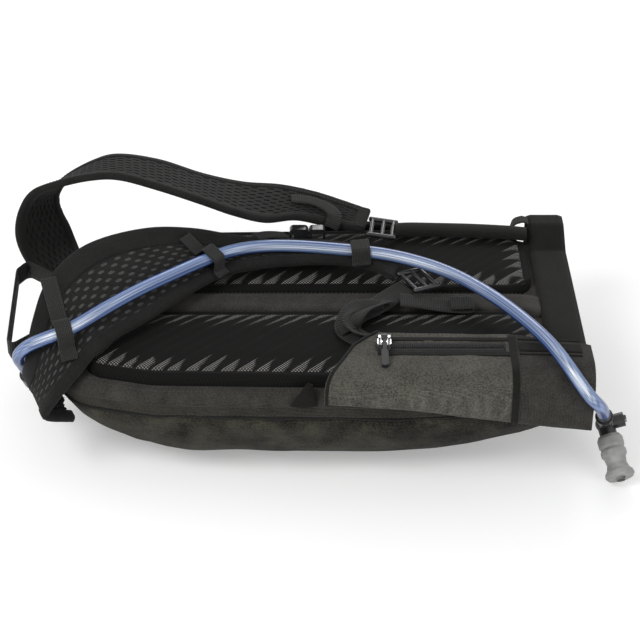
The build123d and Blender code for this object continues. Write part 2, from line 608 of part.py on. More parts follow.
def zip_pull():
    """A pull at the origin, hinged on the X axis and lying towards -Y: eye, cord and moulded end."""
    eye = Rot(0, 90, 0) * Cylinder(PIN_R + 1.6, 4.4) - Rot(0, 90, 0) * Cylinder(PIN_R + GAP, 6)
    cord_start = PIN_R + 1.4
    shaft = Pos(0, -cord_start - PULL_LONG * 0.2, 0) * Box(2.6, PULL_LONG * 0.4, PULL_THICK)
    grip_long = PULL_LONG * 0.6
    grip = Pos(0, -cord_start - PULL_LONG * 0.4 - grip_long / 2, 0) * Box(PULL_WIDE, grip_long, PULL_THICK + 0.8)
    grip = fillet(grip.edges().filter_by(Axis.Z), 2.2)
    return eye + shaft + grip


# ---------------------------------------------------------------- chest strap
def buckle_female():
    body = Pos(BUCKLE_X - FEMALE_LONG / 2, BUCKLE_Y, BUCKLE_Z) * Box(FEMALE_LONG, BUCKLE_THICK, BUCKLE_HIGH)
    body = fillet(body.edges().filter_by(Axis.Y), 3.5)
    body -= Pos(BUCKLE_X - 4, BUCKLE_Y, BUCKLE_Z) * Box(12, BUCKLE_THICK - 3, BUCKLE_HIGH - 4)
    return body - Pos(BUCKLE_X - FEMALE_LONG + 2.6, BUCKLE_Y, BUCKLE_Z) * Box(1.8, 20, BUCKLE_HIGH - 5)


def buckle_male():
    frame = Pos(BUCKLE_X + GAP + MALE_LONG / 2, BUCKLE_Y, BUCKLE_Z) * Box(MALE_LONG, BUCKLE_THICK, BUCKLE_HIGH)
    frame = fillet(frame.edges().filter_by(Axis.Y), 3.0)
    frame -= Pos(BUCKLE_X + GAP + MALE_LONG / 2 + 0.4, BUCKLE_Y, BUCKLE_Z) * Box(MALE_LONG - 4.8, 20, BUCKLE_HIGH - 5)
    for side in (-1, 1):
        prong = Pos(BUCKLE_X - 4, BUCKLE_Y, BUCKLE_Z + side * 3.4) * Box(9, BUCKLE_THICK - 4.2, 2.2)
        frame += prong
        frame += Pos(BUCKLE_X - 7, BUCKLE_Y, BUCKLE_Z + side * 3.9) * Box(3, BUCKLE_THICK - 4.2, 2.4)
    return frame


def main():
    save("pack_shell", pack_shell())
    save("back_panel", panel_block())
    save("near_back_pad", back_pad(-1))
    save("far_back_pad", back_pad(1))
    save("frame_sheet", frame_sheet())
    save("divider_sleeve", divider_sleeve())
    save("reservoir", reservoir())
    save("reservoir_slide", reservoir_slide())
    save("reservoir_connector", reservoir_connector())
    save("reservoir_hanger", reservoir_hanger())
    save("inner_tube", inner_tube())
    save("hose_gland", hose_gland())
    save("drinking_tube", drinking_tube())
    save("valve_elbow", valve_elbow())
    save("shutoff_lever", shutoff_lever())
    save("bite_valve", bite_valve())
    save("near_shoulder_strap", seated(ribbon(NEAR_STRAP, STRAP_THICK, STRAP_EDGE)))
    save("far_shoulder_strap", seated(ribbon(FAR_STRAP, STRAP_THICK, STRAP_EDGE)))
    save("tube_loop_upper", tube_loop(4, 0.75, 4.4, 3.45, 52, 20, LOOP_WIDE, drop=2.2))
    save("tube_loop_lower", tube_loop(9, 0.3, 6.6, 6.9, 28, 16, LOOP_WIDE))
    save("tube_keeper", tube_loop(13, 0.45, 10.6, 10.7, 14, 12, LOOP_WIDE * 1.2))
    save("haul_loop", haul_loop())
    save("near_ladder_lock", NEAR_LOCK * ladder_lock())
    save("far_ladder_lock", FAR_LOCK * ladder_lock())
    save("lumbar_band", lumbar_band())
    save("near_adjuster_webbing", near_adjuster_webbing())
    save("near_webbing_tail", near_webbing_tail())
    save("far_adjuster_webbing", far_adjuster_webbing())
    save("near_wing", near_wing())
    save("near_wing_root", near_wing_root())
    save("far_wing", far_wing())
    save("far_wing_root", seated(cut_x(far_wing_blank(), WING_HINGE_X + WING_GAP / 2, WING_END_X)))
    for name, plane, length, droop in (("near", NEAR_ZIP, NEAR_ZIP_LONG, NEAR_PULL_DROOP),
                                       ("far", FAR_ZIP, FAR_ZIP_LONG, 0), ("top", TOP_ZIP, TOP_ZIP_LONG, 0)):
        closed = -length / 2 + SLIDER_LONG / 2 + 1
        save(f"{name}_zip_track", zip_track(plane, length))
        save(f"{name}_zip_slider", zip_slider(plane, closed))
        save(f"{name}_zip_pull", placed_pull(plane, closed, droop))
    save("sternum_buckle_female", buckle_female())
    save("sternum_buckle_male", buckle_male())
    save("near_sternum_webbing", near_sternum_webbing())
    save("far_sternum_webbing", far_sternum_webbing())


main()
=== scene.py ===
# %% [markdown]
# # A hydration pack, dressed
# The pack lies on its front with its back panel up.  The CAD model gives every place and size,
# and this notebook adds what the eye looks for: cloth, mesh, binding tape, stitches and light.
# The first cell loads the CAD model as a frame that never moves.
# %% Load the frame
import json
import math

import bmesh
import bpy
import numpy as np
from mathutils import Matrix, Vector
from mathutils import noise as perlin

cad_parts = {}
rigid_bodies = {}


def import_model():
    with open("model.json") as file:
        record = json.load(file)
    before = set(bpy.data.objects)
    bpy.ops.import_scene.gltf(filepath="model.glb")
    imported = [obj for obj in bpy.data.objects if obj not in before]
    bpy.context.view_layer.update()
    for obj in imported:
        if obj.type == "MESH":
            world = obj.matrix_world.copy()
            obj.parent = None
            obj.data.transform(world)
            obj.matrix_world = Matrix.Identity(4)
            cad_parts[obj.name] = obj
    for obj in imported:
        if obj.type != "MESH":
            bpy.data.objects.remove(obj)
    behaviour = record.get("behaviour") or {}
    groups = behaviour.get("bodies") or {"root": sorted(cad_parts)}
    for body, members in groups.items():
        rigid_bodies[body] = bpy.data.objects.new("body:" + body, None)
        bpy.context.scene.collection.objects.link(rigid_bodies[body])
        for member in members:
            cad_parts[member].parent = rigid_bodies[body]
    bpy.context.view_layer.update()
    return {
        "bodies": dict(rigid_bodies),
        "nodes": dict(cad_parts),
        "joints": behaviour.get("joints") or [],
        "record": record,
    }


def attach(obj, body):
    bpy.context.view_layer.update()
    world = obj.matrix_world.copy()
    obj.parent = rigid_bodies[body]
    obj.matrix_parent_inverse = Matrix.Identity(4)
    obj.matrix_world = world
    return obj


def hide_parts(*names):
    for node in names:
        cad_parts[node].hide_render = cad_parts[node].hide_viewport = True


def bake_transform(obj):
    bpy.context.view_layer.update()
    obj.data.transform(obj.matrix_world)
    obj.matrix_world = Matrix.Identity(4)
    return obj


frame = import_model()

MM = 0.001
nodes = frame["nodes"]
print("CAD nodes:", len(nodes))

# %% [markdown]
# ## Camera
# A long lens looks down on the pack from its near side, so the panel and that side are in view.
# The camera comes first.
# %% Camera
TARGET = Vector((0, 20, 63)) * MM
DISTANCE = 1.4
DOWN = math.radians(33)
LENS = 101.0
eye = TARGET + Vector((0, -math.cos(DOWN), math.sin(DOWN))) * DISTANCE
camera = bpy.data.objects.new("camera", bpy.data.cameras.new("camera"))
bpy.context.scene.collection.objects.link(camera)
camera.location = eye
camera.rotation_euler = (math.pi / 2 - DOWN, 0, 0)
camera.data.lens = LENS
bpy.context.scene.camera = camera
print("camera at", [round(c, 3) for c in eye])

# %% [markdown]
# ## Small helpers
# A mesh is only points and faces.  `lay_mesh` makes an object from them, `skin` joins rows of
# points into a surface, and `smooth_line` draws a smooth line through a few given points.
# %% Helpers for meshes
def add_object(name, data):
    """Puts an object in the scene: a mesh, a curve, a lamp or a camera."""
    item = bpy.data.objects.new(name, data)
    bpy.context.scene.collection.objects.link(item)
    return item


def lay_mesh(name, points, faces, edges=()):
    """A smooth mesh object from points and faces, or from points and edges."""
    mesh = bpy.data.meshes.new(name)
    mesh.from_pydata([tuple(p) for p in points], edges, faces)
    for polygon in mesh.polygons:
        polygon.use_smooth = True
    return add_object(name, mesh)


def skin(name, rows, around=False, capped=False):
    """A surface over rows of points (n rows of m points); around closes each row into a ring."""
    rows = np.asarray(rows, float)
    n, m = rows.shape[:2]
    faces = []
    last = m if around else m - 1
    for i in range(n - 1):
        for j in range(last):
            k = (j + 1) % m
            faces.append((i * m + j, i * m + k, (i + 1) * m + k, (i + 1) * m + j))
    if capped:
        faces.append(tuple(reversed(range(m))))
        faces.append(tuple((n - 1) * m + j for j in range(m)))
    return lay_mesh(name, rows.reshape(-1, 3), faces)


def thicken(piece, thickness, offset=-1.0):
    """Gives a sheet a thickness in metres: offset 0 grows both ways, -1 behind its faces."""
    solid = piece.modifiers.new("thickness", "SOLIDIFY")
    solid.thickness = thickness
    solid.offset = offset
    return finish_modifiers(piece)


def face_out(piece):
    """Turns every face of a closed piece outwards."""
    form = bmesh.new()
    form.from_mesh(piece.data)
    bmesh.ops.remove_doubles(form, verts=form.verts, dist=1e-6)
    bmesh.ops.recalc_face_normals(form, faces=form.faces)
    form.to_mesh(piece.data)
    form.free()
    return piece


def smooth_line(points, count):
    """Evenly spaced points on a smooth line through the given ones."""
    p = np.asarray(points, float)
    ends = np.vstack([2 * p[0] - p[1], p, 2 * p[-1] - p[-2]])
    dense = []
    for i in range(len(p) - 1):
        a, b, c, d = ends[i:i + 4]
        for t in np.linspace(0, 1, 24, endpoint=False):
            dense.append(0.5 * (2 * b + (c - a) * t + (2 * a - 5 * b + 4 * c - d) * t ** 2
                                + (3 * b - a - 3 * c + d) * t ** 3))
    dense = np.array(dense + [p[-1]])
    run = np.concatenate([[0], np.cumsum(np.linalg.norm(np.diff(dense, axis=0), axis=1))])
    at = np.linspace(0, run[-1], count)
    return np.stack([np.interp(at, run, dense[:, k]) for k in range(dense.shape[1])], axis=1)


def finish_modifiers(piece):
    """Bakes a piece's modifiers into a plain mesh."""
    graph = bpy.context.evaluated_depsgraph_get()
    baked = bpy.data.meshes.new_from_object(piece.evaluated_get(graph))
    piece.modifiers.clear()
    piece.data = baked
    return piece


def dress(piece, material, body, replaces=()):
    """Gives a piece its material, its body and the CAD nodes it stands for."""
    piece.data.materials.clear()
    piece.data.materials.append(material)
    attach(piece, body)
    if replaces:
        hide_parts(*replaces)
    return piece


def closed_form(name, rows, material, body, replaces=()):
    """A closed, dressed piece over rings of points in metres."""
    piece = face_out(skin(name, rows, around=True, capped=True))
    return dress(piece, material, body, replaces)


def unit(v):
    """Vectors scaled to a length of 1."""
    v = np.asarray(v, float)
    return v / np.maximum(np.linalg.norm(v, axis=-1, keepdims=True), 1e-12)

# %% [markdown]
# ## Finishes
# Each finish is a small node tree.  Cloth gets three things: a colour that varies a little, a
# roughness near one with some sheen, and a fine bump for its weave.  One recipe with named
# amounts makes them all, so the cloths differ only in their numbers.
# %% Node helpers
def new_material(name):
    """A node material, its tree and its surface shader."""
    material = bpy.data.materials.new(name)
    material.use_nodes = True
    tree = material.node_tree
    shader = tree.nodes["Principled BSDF"]
    return material, tree, shader


def feed(tree, node, **sockets):
    """Sets a node's plain inputs by name, or by number as i0, and links the rest."""
    for key, value in sockets.items():
        by_number = key[0] == "i" and key[1:].isdigit()
        socket = node.inputs[int(key[1:]) if by_number else key.replace("_", " ")]
        if isinstance(value, bpy.types.NodeSocket):
            tree.links.new(value, socket)
        else:
            socket.default_value = value
    return node


def put(tree, kind, **sockets):
    """Adds a node and feeds it."""
    return feed(tree, tree.nodes.new(kind), **sockets)


def maths(tree, how, a, b=0.0, c=0.0):
    """Arithmetic on sockets or numbers: how names the operation."""
    node = put(tree, "ShaderNodeMath", i0=a, i1=b, i2=c)
    node.operation = how
    return node.outputs[0]


def ramp(tree, factor, stops):
    """Colours by a factor: each stop is a place and a colour."""
    node = tree.nodes.new("ShaderNodeValToRGB")
    tree.links.new(factor, node.inputs[0])
    elements = node.color_ramp.elements
    while len(elements) < len(stops):
        elements.new(0.5)
    for element, (place, colour) in zip(elements, stops):
        element.position = place
        element.color = (*colour, 1)
    return node.outputs[0]


def where(tree, attribute=None):
    """Object coordinates, or a piece's own named attribute."""
    if attribute is None:
        return tree.nodes.new("ShaderNodeTexCoord").outputs["Object"]
    node = tree.nodes.new("ShaderNodeAttribute")
    node.attribute_name = attribute
    return node.outputs["Vector"]


def bump_from(tree, shader, height, distance, strength=0.6):
    """Fine relief from a height, up to a distance in metres."""
    node = put(tree, "ShaderNodeBump", Height=height, Distance=distance, Strength=strength)
    tree.links.new(node.outputs[0], shader.inputs["Normal"])

# %% Cloth and plastic recipes
WAVE = 0.314                # a wave texture of scale 1 repeats after this many metres
EVEN_GREY = 0.95            # the fibre noise times its weight, on average
FINE = 0.00004              # depth of a fine grain, in metres


def cloth(name, dark, light, pitch=0.0009, depth=0.0002, blotch=60.0, worn=0.5, grain=1100.0, painted_shade_span=None):
    """Woven cloth: two crossed sets of threads, blotches of colour, a soft sheen, and painted shade that
    darkens it along X over a given span.
    """
    material, tree, shader = new_material(name)
    place = where(tree)
    sets = []
    for direction in "XY":
        wave = put(tree, "ShaderNodeTexWave", Vector=place, Scale=WAVE / pitch, Distortion=0.4, Detail=1.0)
        wave.bands_direction = direction
        sets.append(wave.outputs["Fac"])
    threads = maths(tree, "MAXIMUM", *sets)
    fibre = put(tree, "ShaderNodeTexNoise", Vector=place, Scale=grain, Detail=3.0, Roughness=0.7)
    cloud = put(tree, "ShaderNodeTexNoise", Vector=place, Scale=blotch, Detail=4.0, Roughness=0.6)
    tone = maths(tree, "MULTIPLY_ADD", cloud.outputs["Fac"], worn * 1.6, 0.5 - worn * 0.8)
    tone = maths(tree, "MULTIPLY_ADD", fibre.outputs["Fac"], 2 * EVEN_GREY, tone)
    tone = maths(tree, "SUBTRACT", tone, EVEN_GREY)
    tone = maths(tree, "MULTIPLY_ADD", threads, 0.25, tone)
    tone = maths(tree, "SUBTRACT", tone, 0.15)
    if painted_shade_span:
        # Painted shade: the colour is darkened along X over the span, standing in for shade that falls there.
        along = put(tree, "ShaderNodeSeparateXYZ", i0=place).outputs["X"]
        painted_shade = put(tree, "ShaderNodeMapRange", Value=along, From_Min=painted_shade_span[0], From_Max=painted_shade_span[1],
                     To_Min=0.0, To_Max=0.42)
        tone = maths(tree, "SUBTRACT", tone, painted_shade.outputs[0])
    feed(tree, shader, Base_Color=ramp(tree, tone, [(0.0, dark), (1.0, light)]), Roughness=0.9,
         Sheen_Weight=0.05, Sheen_Roughness=0.5, Specular_IOR_Level=0.14)
    height = maths(tree, "MULTIPLY_ADD", fibre.outputs["Fac"], 0.4, threads)
    bump_from(tree, shader, height, depth)
    return material


def moulded(name, colour, rough):
    """Moulded plastic: even colour, soft gloss with faint mottling, and a very fine grain."""
    material, tree, shader = new_material(name)
    place = where(tree)
    cloud = put(tree, "ShaderNodeTexNoise", Vector=place, Scale=120.0, Detail=3.0)
    pebbles = put(tree, "ShaderNodeTexNoise", Vector=place, Scale=3200.0, Detail=1.0)
    light = tuple(min(1.0, c * 1.5 + 0.006) for c in colour)
    feed(tree, shader, Base_Color=ramp(tree, cloud.outputs["Fac"], [(0.3, colour), (0.75, light)]),
         Roughness=maths(tree, "MULTIPLY_ADD", cloud.outputs["Fac"], 0.2, rough - 0.1))
    bump_from(tree, shader, pebbles.outputs["Fac"], FINE)
    return material


def metal(name):
    """Plated metal: grey, with smears that change its gloss."""
    material, tree, shader = new_material(name)
    smear = put(tree, "ShaderNodeTexNoise", Vector=where(tree), Scale=700.0, Detail=3.0)
    feed(tree, shader, Metallic=1.0, Base_Color=(0.5, 0.5, 0.51, 1),
         Roughness=maths(tree, "MULTIPLY_ADD", smear.outputs["Fac"], 0.3, 0.15))
    bump_from(tree, shader, smear.outputs["Fac"], FINE)
    return material


def clear_hose(name):
    """Clear blue hose with painted light: a pale highlight along its middle, deep blue towards its edges, and
    lengthwise streaks of painted reflection.
    """
    material, tree, shader = new_material(name)
    # Painted light: the colour follows the viewing angle and lengthwise streaks, for the highlight and
    # reflections on the hose.
    facing = put(tree, "ShaderNodeLayerWeight", Blend=0.5).outputs["Facing"]
    chart = tree.nodes.new("ShaderNodeTexCoord").outputs["UV"]
    chart = put(tree, "ShaderNodeMapping", Vector=chart, Scale=(1.5, 26.0, 1.0))
    painted_reflection_streaks = put(tree, "ShaderNodeTexNoise", Vector=chart.outputs[0], Scale=1.0, Detail=2.0)
    shade = maths(tree, "MULTIPLY_ADD", painted_reflection_streaks.outputs["Fac"], 0.9, maths(tree, "SUBTRACT", facing, 0.45))
    blues = [(0.0, (0.60, 0.66, 0.76)), (0.08, (0.06, 0.10, 0.22)), (0.16, (0.42, 0.50, 0.66)),
             (0.30, (0.03, 0.07, 0.22)), (0.44, (0.22, 0.32, 0.56)), (0.66, (0.01, 0.05, 0.22))]
    feed(tree, shader, Base_Color=ramp(tree, shade, blues), Roughness=0.28, Transmission_Weight=0.12,
         Coat_Weight=0.25, Coat_Roughness=0.05)
    return material

# %% The finishes
def near_black(level, warm=0.0):
    """A dark grey, a little warmer than neutral if asked."""
    return (level, level, level - warm)


smooth_cloth = cloth("panel_cloth", near_black(0.002), (0.012, 0.0115, 0.010), pitch=0.0005)
olive_cloth = cloth("olive_cloth", (0.010, 0.0098, 0.007), (0.130, 0.124, 0.105), pitch=0.0007, depth=0.0005,
                    worn=0.4, grain=800.0)
side_cloth = cloth("side_cloth", near_black(0.004, 0.001), (0.046, 0.043, 0.034), pitch=0.0005, worn=0.7)
panel_grey = cloth("panel_grey", near_black(0.006, 0.001), (0.056, 0.053, 0.047), pitch=0.0005, worn=0.6)
# The bag's cloth gets painted shade, darker towards its +X end, under the wing.
bag_cloth = cloth("bag_cloth", near_black(0.002, 0.0005), (0.052, 0.049, 0.035), pitch=0.0007, depth=0.0004,
                  blotch=38.0, worn=1.5, grain=800.0, painted_shade_span=(0.0, 0.15))
strap_foam = cloth("strap_foam", near_black(0.003), near_black(0.020, 0.001), pitch=0.0006)
binding_tape = cloth("binding_tape", near_black(0.003), near_black(0.018, 0.001), pitch=0.0006)
webbing = cloth("webbing", near_black(0.003), near_black(0.020, 0.001), pitch=0.0006, depth=0.0003)
elastic = cloth("elastic", near_black(0.004), near_black(0.026, 0.002), pitch=0.0005, depth=0.0003)
strap_lining = cloth("strap_lining", near_black(0.012), near_black(0.110, 0.004), pitch=0.0006, worn=0.4)
lining = cloth("lining", (0.16, 0.17, 0.18), (0.30, 0.31, 0.32))
mesh_cloth = cloth("mesh_cloth", near_black(0.004), near_black(0.02, -0.001), pitch=0.0014)
black_plastic = moulded("black_plastic", near_black(0.010, -0.001), 0.28)
sheet_plastic = moulded("sheet_plastic", (0.55, 0.55, 0.53), 0.5)
silicone = moulded("silicone", (0.20, 0.20, 0.195), 0.5)
# Dark grey for the painted shade in the bite valve's mouth.
mouth_grey = moulded("mouth_grey", (0.03, 0.03, 0.032), 0.5)
zip_black = moulded("zip_black", near_black(0.010, -0.001), 0.4)
steel = metal("slider_metal")
tube_clear = clear_hose("tube_clear")

# %% [markdown]
# ## Drinking tube
# A hose bends in one flowing line.  A NURBS curve pulled by a few points gives that, and a round
# bevel gives it its thickness.
# %% Drinking tube
TUBE_ROUTE = [
    (-217.5, -50, 61), (-220, -57, 74), (-221.5, -69, 89), (-212, -78, 104), (-197.5, -79.5, 112),
    (-180, -76, 117), (-157, -58.5, 123.5), (-134.5, -34.5, 124.5), (-112, -11, 123), (-89, 12.5, 121.5),
    (-68, 30, 120.5), (-43.5, 39.5, 119), (-12, 41, 117.5), (19, 36.5, 117), (46, 31.5, 117),
    (72, 22.5, 116), (98, 8, 114.5), (119.5, -13, 113.5), (136, -36, 114), (151, -62, 114.5),
    (163, -86, 114.5), (172, -107, 112.5), (180.5, -122, 105.5), (189.5, -127, 94), (198, -121, 82),
    (203, -110, 69.8), (206, -99, 58),
]
TUBE_OUTER = 9.5


def nurbs_through(name, route, radius):
    """A round tube along a NURBS line with the route as its control points, in mm."""
    line = bpy.data.curves.new(name, "CURVE")
    line.dimensions = "3D"
    spline = line.splines.new("NURBS")
    spline.points.add(len(route) - 1)
    for point, place in zip(spline.points, route):
        point.co = (*(Vector(place) * MM), 1)
    spline.order_u = 3
    spline.use_endpoint_u = True
    line.resolution_u = 8
    line.bevel_depth = radius * MM
    line.bevel_resolution = 8
    line.use_fill_caps = True
    return add_object(name, line)


tube = nurbs_through("hose", TUBE_ROUTE, TUBE_OUTER / 2)
dress(tube, tube_clear, "pack", ["drinking_tube"])
print("hose points:", len(TUBE_ROUTE))

# %% [markdown]
# ## Finishes of the CAD pieces
# Every CAD node gets a finish.  The hard parts keep their CAD shapes and are dressed no further,
# while cloth and webbing are drawn again below, over the solids that they stand for.
# %% Give the CAD nodes their finishes
FINISH = [
    (olive_cloth, "pack_shell near_wing far_wing"),
    (smooth_cloth, "back_panel lumbar_band near_wing_root far_wing_root"),
    (mesh_cloth, "near_back_pad far_back_pad"),
    (sheet_plastic, "frame_sheet"),
    (lining, "divider_sleeve"),
    (strap_foam, "near_shoulder_strap far_shoulder_strap"),
    (elastic, "tube_loop_upper tube_loop_lower tube_keeper"),
    (webbing, "reservoir_hanger haul_loop near_adjuster_webbing near_webbing_tail far_adjuster_webbing"),
    (webbing, "near_sternum_webbing far_sternum_webbing"),
    (black_plastic, "reservoir_slide reservoir_connector hose_gland valve_elbow shutoff_lever"),
    (black_plastic, "near_ladder_lock far_ladder_lock near_zip_pull far_zip_pull top_zip_pull"),
    (black_plastic, "sternum_buckle_female sternum_buckle_male"),
    (silicone, "bite_valve"),
    (zip_black, "near_zip_track far_zip_track top_zip_track"),
    (steel, "near_zip_slider far_zip_slider top_zip_slider"),
    (tube_clear, "inner_tube reservoir"),
]
finished = [(node, material) for material, names in FINISH for node in names.split()]
for node, material in finished:
    nodes[node].data.materials.clear()
    nodes[node].data.materials.append(material)
print("finished CAD nodes:", len(finished))

# %% [markdown]
# ## The hose's end
# The bite valve has a slot for a mouth, and the elbow's spigot has barbs.  Both are rings of
# points about a line, so one function draws them.
# %% Rings about a line
def rings_along(centre, way, sections, points):
    """Rows of points about a line: each section is a depth, a half width and a half height in mm."""
    side = way.cross(Vector((0, 0, 1))).normalized()
    up = side.cross(way)
    turns = np.linspace(0, math.tau, points, endpoint=False)
    return [[centre + (way * depth + side * wide * math.cos(a) + up * high * math.sin(a)) * MM for a in turns]
            for depth, wide, high in sections]

# %% Mouth of the bite valve
VALVE_TIP, VALVE_CORNER = Vector((221.5, -112.0, 8.2)) * MM, Vector((212.2, -76.2, 33.6)) * MM
mouth = [(-0.5, 3.2, 2.4), (0.15, 3.2, 2.4), (0.35, 2.9, 2.1), (0.1, 2.4, 1.7), (-0.1, 0.3, 0.2)]
rows = rings_along(VALVE_TIP, (VALVE_TIP - VALVE_CORNER).normalized(), mouth, 28)
# The mouth piece's dark grey is painted shade in the hollow of the bite valve's slit.
closed_form("valve_mouth", rows, mouth_grey, "valve")

# %% Barb rings at the hose's end
HOSE_END = Vector(TUBE_ROUTE[-1]) * MM
BARB_RADIUS, BARB_STEP, BARB_START, BARBS = 5.0, 2.6, -6.0, 4
barbs = [(depth + BARB_START + number * BARB_STEP, radius, radius) for number in range(BARBS)
         for depth, radius in ((-1.0, BARB_RADIUS - 0.6), (-0.5, BARB_RADIUS), (0.4, BARB_RADIUS),
                               (0.9, BARB_RADIUS - 0.6))]
rows = rings_along(HOSE_END, (HOSE_END - Vector(TUBE_ROUTE[-2]) * MM).normalized(), barbs, 32)
closed_form("hose_barbs", rows, black_plastic, "pack")

# %% [markdown]
# ## Lines of stitches
# A stitch is tiny, and a pack has thousands.  Geometry Nodes walk along every seam line, set one
# long bead of thread at each step, and turn the result into a real mesh.  The seam lines are
# gathered while the pieces are made, and sewn at the end, one mesh for each body.
# %% Trees of nodes, and the stitch tree
def field_tree(name, inputs):
    """A geometry node tree with named inputs, and its ends."""
    tree = bpy.data.node_groups.new(name, "GeometryNodeTree")
    tree.interface.new_socket("Geometry", in_out="INPUT", socket_type="NodeSocketGeometry")
    for label, kind, value in inputs:
        socket = tree.interface.new_socket(label, in_out="INPUT", socket_type=kind)
        if value is not None:
            socket.default_value = value
    tree.interface.new_socket("Geometry", in_out="OUTPUT", socket_type="NodeSocketGeometry")
    return tree, tree.nodes.new("NodeGroupInput"), tree.nodes.new("NodeGroupOutput")


def g(tree, kind, links=None, **settings):
    """Adds a geometry node: settings are its options, links its inputs by name or number."""
    node = tree.nodes.new(kind)
    for key, value in settings.items():
        setattr(node, key, value)
    for key, value in (links or {}).items():
        socket = node.inputs[key]
        if isinstance(value, bpy.types.NodeSocket):
            tree.links.new(value, socket)
        else:
            socket.default_value = value
    return node


def run_tree(piece, tree, **values):
    """Runs a tree on a piece, with its named inputs, and keeps the plain mesh."""
    modifier = piece.modifiers.new(tree.name, "NODES")
    modifier.node_group = tree
    for item in tree.interface.items_tree:
        if item.in_out == "INPUT" and item.name.replace(" ", "_") in values:
            modifier[item.identifier] = values[item.name.replace(" ", "_")]
    return finish_modifiers(piece)


def bead_tree(name, spacing, size, roundness):
    """Sets a bead of a size in metres at every step along lines of edges."""
    tree, start, end = field_tree(name, [("Finish", "NodeSocketMaterial", None)])
    line = g(tree, "GeometryNodeMeshToCurve", {"Mesh": start.outputs["Geometry"]})
    steps = g(tree, "GeometryNodeCurveToPoints", {"Curve": line.outputs[0], "Length": spacing}, mode="LENGTH")
    bead = g(tree, "GeometryNodeMeshIcoSphere", {"Radius": 0.5, "Subdivisions": roundness})
    placed = g(tree, "GeometryNodeInstanceOnPoints", {
        "Points": steps.outputs["Points"], "Instance": bead.outputs["Mesh"],
        "Rotation": steps.outputs["Rotation"], "Scale": size})
    real = g(tree, "GeometryNodeRealizeInstances", {0: placed.outputs[0]})
    painted = g(tree, "GeometryNodeSetMaterial",
                {"Geometry": real.outputs[0], "Material": start.outputs["Finish"]})
    tree.links.new(painted.outputs[0], end.inputs[0])
    return tree


STITCHES = bead_tree("stitches", 0.0032, (0.00035, 0.00035, 0.0022), 1)
seams = {}


def sew(body, line, closed=False):
    """Remembers a seam line (points in metres) to be stitched on a body."""
    line = np.asarray(line, float)
    seams.setdefault(body, []).append(np.vstack([line, line[:1]]) if closed else line)

# %% [markdown]
# ## Shoulder straps
# Each strap is a sheet of foam cut with staggered slots and bound with folded tape.  The slots
# are a honeycomb: Geometry Nodes shear a grid, take its dual, shrink each cell to a slot, and
# lay the sheet on the strap's surface through its UV map.  Booleans would cut the same slots,
# but slowly and with poor faces.
# %% Perforated sheet tree
def one_way_scale(tree):
    """A Scale Elements node set to scale along one axis."""
    node = tree.nodes.new("GeometryNodeScaleElements")
    if hasattr(node, "scale_mode"):
        node.scale_mode = "SINGLE_AXIS"
    else:
        node.inputs["Scale Mode"].default_value = "Single Axis"
    return node


